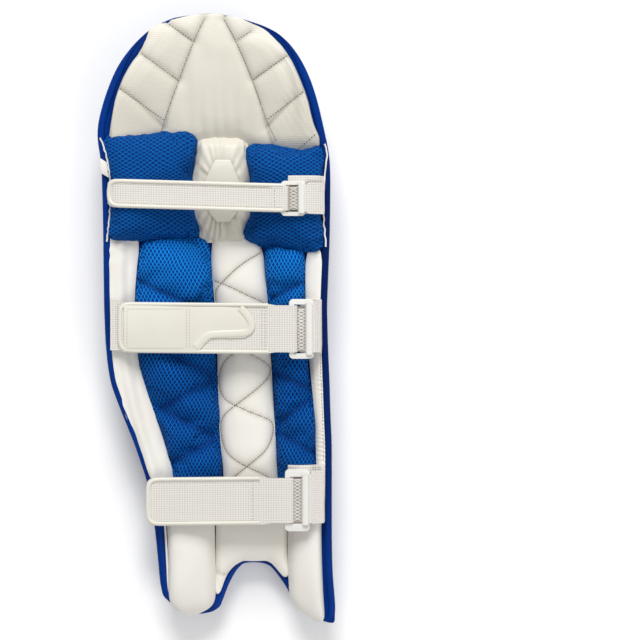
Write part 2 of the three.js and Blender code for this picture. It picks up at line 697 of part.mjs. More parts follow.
// Straps: tip of the free end, sewn end at the left, ring centre, width and heights at both ends
const STRAPS = [
  { name: "top", sewn: -128, tip: -127, ring: 91, end: 127, width: 33, yLeft: 148.5, yRight: 142,
    webbing: 29, ringLength: 41, tabLow: 125, tabHigh: 168 },
  { name: "middle", sewn: -125, tip: -115, ring: 100, end: 124, width: 59, yLeft: -8.5, yRight: -10.5,
    webbing: 55, ringLength: 70, tabLow: -41, tabHigh: 23 },
  { name: "bottom", sewn: -84, tip: -82.5, ring: 95.5, end: 127, width: 56, yLeft: -214, yRight: -212,
    webbing: 53, ringLength: 73, tabLow: -239, tabHigh: -175 },
];
const FLAP_CORNER = 9;
const STRAP_STEP = 20; // longest stretch of strap between two stations
const TAB_STEP = 8;
const FLAP_SETTLE = 38; // length in which the flap comes down from the ring to the layer below
const NARROWING = { start: 34, length: 14 }; // bare webbing before the ring, narrower than the bound flap
const SEWN_HEIGHT = 6; // a strap's sewn ends over the board
const CLEAR = { below: 6, above: 10, before: 4, after: 1 }; // room round a strap, and round its ring
const FOLD_TURNS = [-60, -30, 0, 30, 60];
const RING_WIDTH = 2 * RING.bar + RING.slot;
const FOLD_RADIUS = (WEBBING + RING.thickness + 2 * LAYER_GAP) / 2;
const smoothStep = (t) => THREE.MathUtils.smoothstep(t, 0, 1);

// Path of a strap's lower layer, straight under the ring so that the ring lies flat on it
function strapPath(strap, pieces) {
  const { width, yLeft, yRight, sewn, end, ring } = strap;
  const low = Math.min(yLeft, yRight) - width / 2 - CLEAR.below;
  const high = Math.max(yLeft, yRight) + width / 2 + CLEAR.above;
  const sit = (x) => ({ x, z: board(x, (yLeft + yRight) / 2) + SEWN_HEIGHT });
  const first = tautOver(pieces, low, high, sit(sewn), sit(end));
  const [from, to] = [ring - RING_WIDTH / 2 - CLEAR.before, ring + RING_WIDTH / 2 + CLEAR.after];
  const [zFrom, zTo] = [heightOn(first, from), heightOn(first, to)];
  let lift = 0;
  for (const p of first) {
    if (p.x > from && p.x < to) {
      lift = Math.max(lift, p.z - zFrom - ((zTo - zFrom) * (p.x - from)) / (to - from));
    }
  }
  return upperHull([...first, { x: from, z: zFrom + lift }, { x: to, z: zTo + lift }]);
}
function strapMiddleY({ yLeft, yRight, sewn, ring }, x) {
  return yLeft + ((yRight - yLeft) * (x - sewn)) / (ring - sewn);
}

// Height of one layer over another that slopes, with an even gap between them
function stackedOver(lower, x) {
  const slope = Math.max(Math.abs(lower(x + 1) - lower(x)), Math.abs(lower(x) - lower(x - 1)));
  return (WEBBING + LAYER_GAP) * Math.hypot(1, slope);
}

// Strap sewn at the left, led through the ring and folded back on itself
function strapBody(strap, hull) {
  const barEnd = strap.ring - RING.slot / 2;
  const lower = (x) => heightOn(hull, x) + STRAP_REST + WEBBING / 2;
  const upper = (x) => {
    const away = smoothStep((barEnd - RING.bar - WEBBING - x) / FLAP_SETTLE);
    return lower(x) + 2 * FOLD_RADIUS * (1 - away) + stackedOver(lower, x) * away;
  };
  const halfWidth = (x) => {
    const narrow = smoothStep((x - barEnd + NARROWING.start) / NARROWING.length);
    return (strap.width * (1 - narrow) + strap.webbing * narrow) / 2;
  };
  const station = (x, z, half) => {
    const y = strapMiddleY(strap, x);
    return { x, z, low: y - half, high: y + half };
  };
  const stations = [];
  for (const x of placesOn(hull, strap.sewn, barEnd, STRAP_STEP)) {
    stations.push(station(x, lower(x), halfWidth(x) - 1));
  }
  for (const turn of FOLD_TURNS) {
    const angle = THREE.MathUtils.degToRad(turn);
    const x = barEnd + FOLD_RADIUS * Math.cos(angle);
    const z = lower(barEnd) + FOLD_RADIUS * (1 + Math.sin(angle));
    stations.push(station(x, z, halfWidth(barEnd)));
  }
  for (const x of placesOn(hull, strap.tip + FLAP_CORNER, barEnd, STRAP_STEP).reverse()) {
    stations.push(station(x, upper(x), halfWidth(x)));
  }
  for (const turn of [30, 60, 85]) {
    const angle = THREE.MathUtils.degToRad(turn);
    const x = strap.tip + FLAP_CORNER * (1 - Math.sin(angle));
    stations.push(station(x, upper(x), strap.width / 2 - FLAP_CORNER * (1 - Math.cos(angle))));
  }
  return { geometry: ribbon(stations, WEBBING), upper, lower };
}

// Moulded loop: a rounded frame with one slot, lying on the strap's lower layer
function strapRing(strap, hull) {
  const { slot, thickness, corner } = RING;
  const [w, h] = [RING_WIDTH / 2, strap.ringLength / 2];
  const frame = new THREE.Shape();
  frame.absarc(w - corner, h - corner, corner, 0, Math.PI / 2);
  frame.absarc(-w + corner, h - corner, corner, Math.PI / 2, Math.PI);
  frame.absarc(-w + corner, -h + corner, corner, Math.PI, 1.5 * Math.PI);
  frame.absarc(w - corner, -h + corner, corner, 1.5 * Math.PI, 2 * Math.PI);
  const half = strap.webbing / 2 + 1.2;
  const window = new THREE.Path();
  window.moveTo(-slot / 2, -half).lineTo(slot / 2, -half).lineTo(slot / 2, half).lineTo(-slot / 2, half);
  window.closePath();
  frame.holes.push(window);
  const geometry = new THREE.ExtrudeGeometry(frame, { depth: thickness, bevelEnabled: false, curveSegments: 4 });
  const [from, to] = [strap.ring - w, strap.ring + w];
  const slope = (heightOn(hull, to) - heightOn(hull, from)) / (to - from);
  geometry.translate(0, 0, STRAP_REST + WEBBING + LAYER_GAP);
  geometry.rotateY(-Math.atan(slope));
  return geometry.translate(strap.ring, strapMiddleY(strap, strap.ring), heightOn(hull, strap.ring));
}

// Short webbing tab that holds the ring's right bar and is sewn to the pad's edge
function ringTab(strap, hull) {
  const barStart = strap.ring + RING.slot / 2;
  const lower = (x) => heightOn(hull, x) + STRAP_REST + WEBBING / 2;
  const middle = strapMiddleY(strap, barStart);
  const half = strap.webbing / 2;
  const sewnEdge = (x) => smoothStep((x - barStart - RING.bar) / (strap.end - barStart - RING.bar));
  const edges = (x) => ({
    low: middle - half + (strap.tabLow - middle + half) * sewnEdge(x),
    high: middle + half + (strap.tabHigh - middle - half) * sewnEdge(x),
  });
  const stations = [];
  const places = placesOn(hull, barStart, strap.end, TAB_STEP);
  const settle = strap.end - barStart - 2 * RING.bar;
  for (const x of places.toReversed()) stations.push({ x, z: lower(x), ...edges(x) });
  for (const turn of FOLD_TURNS) {
    const angle = THREE.MathUtils.degToRad(turn);
    const x = barStart - FOLD_RADIUS * Math.cos(angle);
    stations.push({ x, z: lower(barStart) + FOLD_RADIUS * (1 + Math.sin(angle)), ...edges(barStart) });
  }
  for (const x of places) {
    const away = smoothStep((x - barStart - RING.bar - 1) / settle);
    const lift = 2 * FOLD_RADIUS * (1 - away) + stackedOver(lower, x) * away;
    stations.push({ x, z: lower(x) + lift, ...edges(x) });
  }
  return ribbon(stations, WEBBING);
}

// Vinyl panel on the middle strap, with its nose and its lower corner cut away
const PATCH_OUTLINE = smoothTable("x", [
  { x: -108, low: -37, high: 17 },
  { x: -104, low: -37, high: 17 },
  { x: -21, low: -36.5, high: 15.5 },
  { x: -18, low: -34, high: 15.5 },
  { x: -6, low: -22, high: 15.5 },
  { x: -4, low: -21.5, high: 15.5 },
  { x: 28, low: -21.5, high: 14.5 },
  { x: 35, low: -20.5, high: 11 },
  { x: 41, low: -17, high: 4 },
  { x: 45, low: -10, high: -6 },
]);
function strapPatch(upper) {
  const places = [-108, -104, -85, -64, -43, -21, -18, -12, -6, -4, 12, 28, 35, 41, 45];
  const lift = WEBBING / 2 + SEWN_LIFT + PATCH_THICKNESS / 2;
  return ribbon(places.map((x) => ({ x, z: upper(x) + lift, ...PATCH_OUTLINE(x) })), PATCH_THICKNESS);
}

// Small folded tab of lining at the left edge of the knee
const EDGE_TAB = { places: [-138, -135.5, -133.3, -131.2], low: 171, high: 188, thickness: 1.6 };
function edgeTab() {
  const { places, low, high, thickness } = EDGE_TAB;
  const lift = STACK_GAP + thickness / 2;
  return ribbon(places.map((x) => ({ x, z: board(x, (low + high) / 2) + lift, low, high })), thickness);
}

addPiece("facing_shell", "blue_leather", facingShell());
SHIN_ROLLS.forEach((roll, i) => addPiece(`shin_roll_${i + 1}`, "blue_leather", shinRoll(roll)));
KNEE_ROLLS.forEach((roll) => addPiece(roll.name, "blue_leather", kneeRoll(roll)));
THIGH_SEAMS.slice(1).forEach((next, i) => {
  addPiece(`thigh_flute_${i + 1}`, "blue_leather", thighFlute(THIGH_SEAMS[i], next));
});
addPiece("thigh_side_left", "blue_leather", thighSide(THIGH_SEAMS[0], -1));
addPiece("thigh_side_right", "blue_leather", thighSide(THIGH_SEAMS.at(-1), 1));
addPiece("wing_front", "blue_leather", wingFront());
addPiece("edge_strip", "blue_leather", edgeStrip());
addPiece("instep_panel", "blue_leather", instepPanel());
addPiece("front_label", "white_leather", frontLabel());

addPiece("thigh_lining", "white_leather", thighLining());
const underTop = [
  addPiece("knee_bolster_left", "blue_mesh", cushion(KNEE_BOLSTER_LEFT, { across: 9, under: 6, corner: 9 })),
  addPiece("knee_bolster_right", "blue_mesh", cushion(KNEE_BOLSTER_RIGHT, { across: 9, under: 6, corner: 9 })),
  addPiece("knee_pad", "white_leather", cushion(KNEE_PAD, KNEE_PAD_SHAPE)),
  addPiece("knee_patch", "white_leather",
    cushion(KNEE_PATCH, { base: kneePatchSeat, along: 6, across: 6, under: 6, corner: 2, edge: 1.5 })),
];
const underMiddle = [
  addPiece("shin_bolster_left", "blue_mesh", shinBolsterLeft()),
  addPiece("shin_bolster_right", "blue_mesh", shinBolsterRight()),
  addPiece("shin_pad", "white_leather", shinPad()),
  addPiece("side_lining_left", "white_leather", sideLiningLeft()),
  addPiece("side_lining_right", "white_leather", sideLiningRight()),
];
const underBottom = [
  ...underMiddle,
  addPiece("foot_bolster_left", "white_leather", cushion(FOOT_LEFT, { across: 7, under: 3 })),
  addPiece("foot_bolster_right", "white_leather", cushion(FOOT_RIGHT, { across: 7, under: 3 })),
  addPiece("instep_lining", "white_leather", instepLining()),
];
const padsUnder = [underTop, underMiddle, underBottom];
STRAPS.forEach((strap, i) => {
  const hull = strapPath(strap, padsUnder[i]);
  const { geometry, upper } = strapBody(strap, hull);
  addPiece(`strap_${strap.name}`, "white_webbing", geometry);
  addPiece(`ring_${strap.name}`, "white_plastic", strapRing(strap, hull));
  addPiece(`ring_tab_${strap.name}`, "white_webbing", ringTab(strap, hull));
  if (strap.name === "middle") addPiece("strap_patch", "white_leather", strapPatch(upper));
});
addPiece("edge_tab", "white_leather", edgeTab());

// The part stands on the floor over the middle of its own box
const box = new THREE.Box3().setFromObject(pad);
const middle = box.getCenter(new THREE.Vector3());
pad.position.set(-middle.x, -middle.y, -box.min.z);

export default pad;
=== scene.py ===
# %% [markdown]
# # A cricket batting pad, leg side up
# The pad is a curved board in blue leather. On the leg side it carries white lining, blue air-mesh
# bolsters and three straps; on the front it carries the rolls that meet the ball. This lesson dresses
# the CAD solids: every soft solid is swapped for a stuffed, sewn cover that lies in the same place.

# %% Load the frame
import math

import bpy
import numpy as np
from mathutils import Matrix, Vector
from mathutils.bvhtree import BVHTree


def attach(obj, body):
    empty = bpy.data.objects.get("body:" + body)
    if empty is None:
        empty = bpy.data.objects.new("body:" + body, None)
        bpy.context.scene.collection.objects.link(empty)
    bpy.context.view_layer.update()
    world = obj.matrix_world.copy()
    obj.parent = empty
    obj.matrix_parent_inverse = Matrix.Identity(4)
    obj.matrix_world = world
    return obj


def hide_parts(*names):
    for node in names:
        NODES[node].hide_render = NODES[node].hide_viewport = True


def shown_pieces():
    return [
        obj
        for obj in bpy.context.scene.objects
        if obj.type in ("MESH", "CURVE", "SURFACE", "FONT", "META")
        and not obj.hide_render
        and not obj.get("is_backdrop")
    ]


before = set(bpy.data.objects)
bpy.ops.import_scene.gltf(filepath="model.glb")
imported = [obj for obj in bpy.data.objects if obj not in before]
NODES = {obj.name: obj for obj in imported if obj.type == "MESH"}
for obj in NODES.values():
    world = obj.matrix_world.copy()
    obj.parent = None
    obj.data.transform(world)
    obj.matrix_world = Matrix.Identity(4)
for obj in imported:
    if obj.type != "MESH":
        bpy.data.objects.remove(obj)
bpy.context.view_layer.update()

MM = 0.001
print("CAD nodes:", len(NODES))

# %% [markdown]
# ## Camera
# The picture was taken from straight above, from far enough away that the straps hardly spread. A long
# lens three metres up gives the same flat view. The frame is 755 mm wide at the height of the linings,
# and its middle lies 122 mm to the right of the pad's own middle.

# %% Camera over the pad
FRAME_WIDTH = 755.2 * MM
FRAME_MIDDLE = 122 * MM
LINING_HEIGHT = 55 * MM
CAMERA_DISTANCE = 3.0
SENSOR_WIDTH = 36
bpy.ops.object.camera_add(location=(FRAME_MIDDLE, 0, LINING_HEIGHT + CAMERA_DISTANCE), rotation=(0, 0, 0))
camera = bpy.context.object
camera.data.sensor_width = SENSOR_WIDTH
camera.data.lens = SENSOR_WIDTH * CAMERA_DISTANCE / FRAME_WIDTH
bpy.context.scene.camera = camera
print("lens", round(camera.data.lens, 1))

# %% [markdown]
# ## Floor and light
# A pale floor and one broad soft light from the thigh end, as a window would give, with a weak second light
# and an even fill from all sides. The broad light makes every pad bright on its upper flank and darker on
# its lower one. The floor lies a hair under the pad, so the two never share a face.

# %% Floor and lights
def soft_light(name, place, aim, size, power):
    bpy.ops.object.light_add(type="AREA", location=place)
    light = bpy.context.object
    light.name = name
    light.data.size = size
    light.data.energy = power
    light.rotation_euler = (Vector(aim) - Vector(place)).to_track_quat("-Z", "Y").to_euler()


FLOOR_SIZE, FLOOR_DROP = 14, 0.4 * MM
FILL_STRENGTH = 0.41
bpy.ops.mesh.primitive_plane_add(size=FLOOR_SIZE, location=(0, 0, -FLOOR_DROP))
floor = bpy.context.object
floor.name = "floor"
floor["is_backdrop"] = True
soft_light("window", (-0.2, 3.65, 3.0), (0, 0, 0), 2.2, 186)
soft_light("room", (1.6, -1.8, 2.2), (0, -0.2, 0), 1.8, 27)
world = bpy.data.worlds.new("studio")
world.use_nodes = True
fill = world.node_tree.nodes["Background"].inputs
fill["Color"].default_value = (1, 1, 1, 1)
fill["Strength"].default_value = FILL_STRENGTH
bpy.context.scene.world = world
bpy.context.scene.view_settings.view_transform = "Standard"

# %% [markdown]
# ## Shader helpers
# Colours are written as they look on a screen, red, green and blue out of 255, and are turned into the linear
# values that a shader needs where two of them are blended. One helper places a node and fills its sockets,
# and another opens a node group with named sockets.

# %% Node helpers
def screen(red, green, blue):
    def linear(value):
        value /= 255
        return value / 12.92 if value <= 0.04045 else ((value + 0.055) / 1.055) ** 2.4
    return (linear(red), linear(green), linear(blue), 1)


def node(tree, kind, values=None, **settings):
    made = tree.nodes.new(kind)
    for key, value in settings.items():
        setattr(made, key, value)
    for socket, value in (values or {}).items():
        if isinstance(value, bpy.types.NodeSocket):
            tree.links.new(value, made.inputs[socket])
        else:
            made.inputs[socket].default_value = value
    return made


def maths(tree, operation, a, b=0.0):
    return node(tree, "ShaderNodeMath", {0: a, 1: b}, operation=operation).outputs[0]


def ramp(tree, value, low, high, to_low=0.0, to_high=1.0):
    values = {"Value": value, "From Min": low, "From Max": high, "To Min": to_low, "To Max": to_high}
    return node(tree, "ShaderNodeMapRange", values, interpolation_type="SMOOTHSTEP").outputs[0]


def blend(tree, share, first, second):
    first, second = (screen(*colour) if isinstance(colour, tuple) else colour for colour in (first, second))
    return node(tree, "ShaderNodeMix", {0: share, 6: first, 7: second}, data_type="RGBA").outputs[2]


def open_group(name, inputs, outputs):
    group = bpy.data.node_groups.new(name, "ShaderNodeTree")
    for label, value in inputs.items():
        group.interface.new_socket(label, in_out="INPUT", socket_type="NodeSocketFloat").default_value = value
    for label in outputs:
        group.interface.new_socket(label, in_out="OUTPUT", socket_type="NodeSocketFloat")
    taken = group.nodes.new("NodeGroupInput").outputs
    given = group.nodes.new("NodeGroupOutput").inputs
    return group, taken, given


# %% [markdown]
# ## Leather grain
# Coated leather has fine pores, a coarser crumple where it has been handled, and slow changes of tone
# across a panel. Three textures at three scales give those, and the group hands out a height for the
# bump and a tone for the colour.

# %% Grain group
grain, taken, given = open_group("leather_grain", {"Pores": 900.0, "Crumple": 120.0}, ["Height", "Tone"])
place = node(grain, "ShaderNodeTexCoord").outputs["Object"]
pores = node(grain, "ShaderNodeTexVoronoi", {"Vector": place, "Scale": taken["Pores"]}, feature="SMOOTH_F1")
crumple = node(grain, "ShaderNodeTexNoise", {"Vector": place, "Scale": taken["Crumple"], "Detail": 4.0})
tone = node(grain, "ShaderNodeTexNoise", {"Vector": place, "Scale": 11.0, "Detail": 3.0})
fine = maths(grain, "MULTIPLY", pores.outputs["Distance"], 0.45)
height = maths(grain, "ADD", fine, crumple.outputs["Fac"])
grain.links.new(height, given["Height"])
grain.links.new(ramp(grain, tone.outputs["Fac"], 0.35, 0.65), given["Tone"])
print("grain nodes", len(grain.nodes))

# %% [markdown]
# ## Air mesh
# The bolsters wear a knitted spacer fabric: small diamond holes in staggered rows with threads between. A
# flat lattice would smear on the flanks, so it is laid from above and from both sides, and the way a face
# looks decides which one it wears. A slow noise pulls the lattice a little, as a stuffed cover does.

# %% Mesh group
mesh_knit, taken, given = open_group("air_mesh", {"Across": 0.008, "Along": 0.0047}, ["Hole", "Height"])
place = node(mesh_knit, "ShaderNodeTexCoord").outputs["Object"]
STRETCH = 0.011
stretch = node(mesh_knit, "ShaderNodeTexNoise", {"Vector": place, "Scale": 22.0, "Detail": 1.0})
pull = node(mesh_knit, "ShaderNodeVectorMath", {0: stretch.outputs["Color"], 1: (STRETCH,) * 3, 2: place},
            operation="MULTIPLY_ADD").outputs[0]
x, y, z = node(mesh_knit, "ShaderNodeSeparateXYZ", {0: pull}).outputs


def staggered_holes(first, second):
    a = maths(mesh_knit, "DIVIDE", first, taken["Across"])
    b = maths(mesh_knit, "DIVIDE", second, taken["Along"])
    u = maths(mesh_knit, "ADD", a, b)
    v = maths(mesh_knit, "SUBTRACT", a, b)
    cell = node(mesh_knit, "ShaderNodeCombineXYZ", {0: u, 1: v}).outputs[0]
    spots = node(mesh_knit, "ShaderNodeTexVoronoi", {"Vector": cell, "Scale": 1.0, "Randomness": 0.0},
                 voronoi_dimensions="2D", distance="CHEBYCHEV")
    return spots.outputs["Distance"]


facing = node(mesh_knit, "ShaderNodeNewGeometry").outputs["Normal"]
facing = node(mesh_knit, "ShaderNodeVectorMath", {0: facing}, operation="ABSOLUTE").outputs[0]
nx, ny, nz = node(mesh_knit, "ShaderNodeSeparateXYZ", {0: facing}).outputs
sideways = ramp(mesh_knit, maths(mesh_knit, "SUBTRACT", nx, ny), -0.1, 0.1)
upward = ramp(mesh_knit, nz, 0.55, 0.7)


def mixed(share, first, second):
    return node(mesh_knit, "ShaderNodeMix", {0: share, 2: first, 3: second}).outputs[0]


flank = mixed(sideways, staggered_holes(x, z), staggered_holes(y, z))
spot = mixed(upward, flank, staggered_holes(x, y))
mesh_knit.links.new(ramp(mesh_knit, spot, 0.28, 0.46, 1.0, 0.0), given["Hole"])
mesh_knit.links.new(ramp(mesh_knit, spot, 0.15, 0.5), given["Height"])
print("mesh nodes", len(mesh_knit.nodes))

# %% [markdown]
# ## Webbing
# The straps are woven: cord-like ribs across the band and fine threads that cross them in straight rows.
# The pattern follows the strap's own UV map, laid out in metres, so it turns with the fold at the ring.

# %% Webbing group
WEAVE_PITCH = {"Rib": 0.0030, "Thread": 0.0026}
webbing_weave, taken, given = open_group("webbing_weave", WEAVE_PITCH, ["Height", "Tone"])
along = node(webbing_weave, "ShaderNodeUVMap").outputs[0]
u, v, _ = node(webbing_weave, "ShaderNodeSeparateXYZ", {0: along}).outputs


def beat(distance, pitch, turn):
    count = maths(webbing_weave, "DIVIDE", distance, pitch)
    return maths(webbing_weave, "SINE", maths(webbing_weave, "MULTIPLY", count, turn))


rib = maths(webbing_weave, "ABSOLUTE", beat(u, taken["Rib"], math.pi))
thread = ramp(webbing_weave, beat(v, taken["Thread"], 2 * math.pi), -1, 1, 0.4, 1.0)
woven = maths(webbing_weave, "MULTIPLY", rib, thread)
fuzz = node(webbing_weave, "ShaderNodeTexNoise", {"Vector": along, "Scale": 900.0, "Detail": 2.0})
fuzz = maths(webbing_weave, "MULTIPLY", fuzz.outputs["Fac"], 0.35)
webbing_weave.links.new(maths(webbing_weave, "ADD", woven, fuzz), given["Height"])
webbing_weave.links.new(ramp(webbing_weave, woven, 0.0, 0.5), given["Tone"])
print("weave nodes", len(webbing_weave.nodes))

# %% [markdown]
# ## Finishes
# Every finish is a principled shader fed by those groups. The sewn pieces carry an attribute named
# darkened, which is 1 in a stitched valley and fades out beside it: leather and mesh are painted darker
# there, a painted shade in the valley. Folds, pleats and the lower edge of the thigh lining carry the same
# painted shade, and the straight edge of the board and the knee pad are simply darker. Two more attributes
# mark leather with fine pressed lines (ribbed) and mesh that is painted lighter towards one end, a painted
# light from the window (lit_end). The floor glows faintly, so it stays pale to its edges.

# %% Finish functions
RIB_PITCH, RIB_HEIGHT = 0.0026, 0.4


def new_material(name, roughness, **sockets):
    made = bpy.data.materials.new(name)
    made.use_nodes = True
    shader = made.node_tree.nodes["Principled BSDF"]
    shader.inputs["Roughness"].default_value = roughness
    for socket, value in sockets.items():
        shader.inputs[socket.replace("_", " ")].default_value = value
    return made, made.node_tree, shader


def group_node(tree, group, **values):
    made = tree.nodes.new("ShaderNodeGroup")
    made.node_tree = group
    for label, value in values.items():
        made.inputs[label].default_value = value
    return made.outputs


def bump(tree, shader, height, strength, distance):
    values = {"Height": height, "Strength": strength, "Distance": distance}
    tree.links.new(node(tree, "ShaderNodeBump", values).outputs[0], shader.inputs["Normal"])


def leather(name, colour, tint, darker_tone, roughness=0.5, pores=1000.0, strength=0.2, **sockets):
    made, tree, shader = new_material(name, roughness, **sockets)
    skin = group_node(tree, grain, Pores=pores)
    darkened = node(tree, "ShaderNodeAttribute", attribute_name="darkened").outputs["Fac"]
    ribbed = node(tree, "ShaderNodeAttribute", attribute_name="ribbed").outputs["Fac"]
    place = node(tree, "ShaderNodeTexCoord").outputs["Object"]
    y = node(tree, "ShaderNodeSeparateXYZ", {0: place}).outputs[1]
    rib = maths(tree, "SINE", maths(tree, "MULTIPLY", y, 2 * math.pi / RIB_PITCH))
    rib = maths(tree, "MULTIPLY", rib, maths(tree, "MULTIPLY", ribbed, RIB_HEIGHT))
    toned = blend(tree, skin["Tone"], colour, tint)
    toned = blend(tree, maths(tree, "MULTIPLY", rib, 0.05), toned, darker_tone)
    # The darkened attribute blends in the darker tone: painted shade in seams, folds and pleats, and a plain
    # darker tone on the straight edge and the knee pad.
    tree.links.new(blend(tree, darkened, toned, darker_tone), shader.inputs["Base Color"])
    worn = ramp(tree, skin["Height"], 0.3, 1.1, roughness - 0.07, roughness + 0.07)
    tree.links.new(worn, shader.inputs["Roughness"])
    bump(tree, shader, maths(tree, "ADD", skin["Height"], rib), strength, 0.0006)
    return made


def knit(name, thread, hole, lit_thread, lit_hole, valley_shade, **pitch):
    made, tree, shader = new_material(name, 0.75, Specular_IOR_Level=0.08)
    lattice = group_node(tree, mesh_knit, **pitch)
    darkened = node(tree, "ShaderNodeAttribute", attribute_name="darkened").outputs["Fac"]
    toward_light = node(tree, "ShaderNodeAttribute", attribute_name="lit_end").outputs["Fac"]
    base_tone = blend(tree, lattice["Hole"], thread, hole)
    lit_end = blend(tree, lattice["Hole"], lit_thread, lit_hole)
    # Painted light: the mesh turns to lighter colours towards its lit end, the end nearer the window.
    colour = blend(tree, toward_light, base_tone, lit_end)
    # The darkened attribute blends in the valley shade: painted shade in the quilted valleys.
    tree.links.new(blend(tree, darkened, colour, valley_shade), shader.inputs["Base Color"])
    bump(tree, shader, lattice["Height"], 0.9, 0.0011)
    return made


def woven_band(name, colour, shadow):
    made, tree, shader = new_material(name, 0.85, Sheen_Weight=0.15, Sheen_Roughness=0.5)
    weave = group_node(tree, webbing_weave)
    tree.links.new(blend(tree, weave["Tone"], shadow, colour), shader.inputs["Base Color"])
    bump(tree, shader, weave["Height"], 0.8, 0.0007)
    return made


def moulded(name, colour, shade, roughness, **sockets):
    made, tree, shader = new_material(name, roughness, **sockets)
    skin = group_node(tree, grain, Pores=400.0)
    tree.links.new(blend(tree, skin["Tone"], colour, shade), shader.inputs["Base Color"])
    bump(tree, shader, skin["Height"], 0.15, 0.0003)
    return made

# %% [markdown]
# Now the finishes themselves. Blue leather dresses the front and the rim, and white leather, in four tones that
# run from bright to creamy, dresses the leg side and the straps; one of them is the bright leather painted
# darker, a painted shade. The mesh of the shin is knitted the other way round from that of the knee and is
# painted lighter towards the top, a painted light from the window at that end.

# %% Finishes of the pad
BLUE_LEATHER = leather("blue_leather", (0, 45, 122), (0, 52, 134), (0, 22, 72), 0.42, 800.0, 0.25,
                       Specular_IOR_Level=0.09)
WHITE_LEATHER = leather("white_leather", (247, 244, 237), (241, 237, 228), (202, 195, 181))
# A darker copy of the white leather, a painted shade, for the feet, the left side lining and the knee tab.
SHADED_WHITE_LEATHER = leather("shaded_white_leather", (240, 237, 230), (234, 230, 222), (196, 189, 176))
LINING = leather("lining_leather", (230, 226, 213), (224, 219, 205), (176, 170, 157))
VINYL = leather("strap_vinyl", (229, 226, 214), (225, 221, 208), (198, 192, 179), 0.42, 700.0, 0.15)
LIT_END_TONES = (22, 142, 234), (0, 62, 145)
KNEE_MESH = knit("knee_mesh", (8, 96, 176), (0, 50, 117), *LIT_END_TONES, (2, 52, 122))
SHIN_MESH = knit("shin_mesh", (8, 102, 189), (0, 42, 105), *LIT_END_TONES, (2, 52, 122), Across=0.00445, Along=0.0079)
WEBBING = woven_band("white_webbing", (232, 228, 221), (213, 208, 200))
PLASTIC = moulded("white_plastic", (237, 236, 231), (231, 229, 223), 0.32)
DARK_THREAD = moulded("dark_thread", (96, 94, 95), (80, 78, 80), 0.7)
WHITE_THREAD = moulded("white_thread", (238, 236, 230), (220, 216, 208), 0.75)
BLUE_THREAD = moulded("blue_thread", (28, 110, 204), (18, 94, 188), 0.7)
MESH_THREAD = moulded("mesh_thread", (8, 82, 166), (5, 70, 150), 0.7)
HOOK = moulded("grey_hook", (190, 186, 176), (170, 165, 154), 0.8)
FLOOR = moulded("pale_floor", (250, 250, 250), (248, 248, 248), 0.9, Emission_Strength=0.12)
floor.data.materials.append(FLOOR)
print("materials", len(bpy.data.materials))

# %% [markdown]
# ## Cutting the covers
# A cover starts as a copy of its CAD pad, with the loose triangles merged. Cloth can only fold where it
# has points, so the copy needs a finer mesh. A thick bolster gets a new skin of even small squares. A
# lining has a clean sewn edge, which such a skin would fray, so its own faces are subdivided instead.

# %% Cutting helpers
MERGE_GAP = 0.02 * MM


def take(obj):
    bpy.ops.object.select_all(action="DESELECT")
    obj.select_set(True)
    bpy.context.view_layer.objects.active = obj
    return obj


def apply_modifiers(obj):
    take(obj)
    for modifier in list(obj.modifiers):
        bpy.ops.object.modifier_apply(modifier=modifier.name)


def edit_whole(obj, operator, **settings):
    """Runs one edit-mode operator on every face of a mesh."""
    take(obj)
    bpy.ops.object.mode_set(mode="EDIT")
    bpy.ops.mesh.select_all(action="SELECT")
    operator(**settings)
    bpy.ops.object.mode_set(mode="OBJECT")


def subdivide(obj, levels, kind="CATMULL_CLARK"):
    finer = obj.modifiers.new("finer", "SUBSURF")
    finer.subdivision_type = kind
    finer.levels = finer.render_levels = levels


def copy_node(name, source):
    obj = bpy.data.objects.new(name, NODES[source].data.copy())
    bpy.context.scene.collection.objects.link(obj)
    obj.data.materials.clear()
    edit_whole(obj, bpy.ops.mesh.remove_doubles, threshold=MERGE_GAP)
    return obj


def cut_cover(source, square, soften):
    obj = copy_node(source + "_cover", source)
    skin = obj.modifiers.new("skin", "REMESH")
    skin.mode = "VOXEL"
    skin.voxel_size = square * MM
    smooth = obj.modifiers.new("soften", "SMOOTH")
    smooth.factor = 0.5
    smooth.iterations = soften
    apply_modifiers(obj)
    return obj


def cut_lining(source, crisp, soft):
    obj = copy_node(source + "_cover", source)
    edit_whole(obj, bpy.ops.mesh.tris_convert_to_quads)
    for kind, levels in (("SIMPLE", crisp), ("CATMULL_CLARK", soft)):
        if levels:
            subdivide(obj, levels, kind)
    apply_modifiers(obj)
    return obj

# %% [markdown]
# The pieces are listed by what they are made of: firm rolls on the front, thick mesh bolsters, thin quilted
# linings, smooth stuffed pads and flat side linings. Each kind is cut in its own way.

# %% Cut the covers
FRONT = [f"shin_roll_{i}" for i in range(1, 8)] + ["knee_roll_upper", "knee_roll_middle", "knee_roll_lower"]
FRONT += [f"thigh_flute_{i}" for i in range(1, 5)] + ["thigh_side_left", "thigh_side_right"]
FRONT += ["wing_front", "edge_strip", "instep_panel"]
DIMPLED = ["knee_roll_upper", "knee_roll_middle", "knee_roll_lower", "thigh_side_left", "thigh_side_right"]
THICK = ["knee_bolster_left", "knee_bolster_right", "shin_bolster_left", "shin_bolster_right"]
THIN = ["thigh_lining", "knee_pad", "instep_lining"]
SMOOTH = ["foot_bolster_left", "foot_bolster_right", "shin_pad"]
FLAT = ["side_lining_left", "side_lining_right"]
SKIN_SQUARE, SKIN_SOFTEN = 3.2, 4
covers = {}
for source in FRONT:
    covers[source] = cut_lining(source, 0, 2 if source in DIMPLED else 1)
for source in THICK:
    covers[source] = cut_cover(source, SKIN_SQUARE, SKIN_SOFTEN)
for source in THIN:
    covers[source] = cut_lining(source, 1, 1)
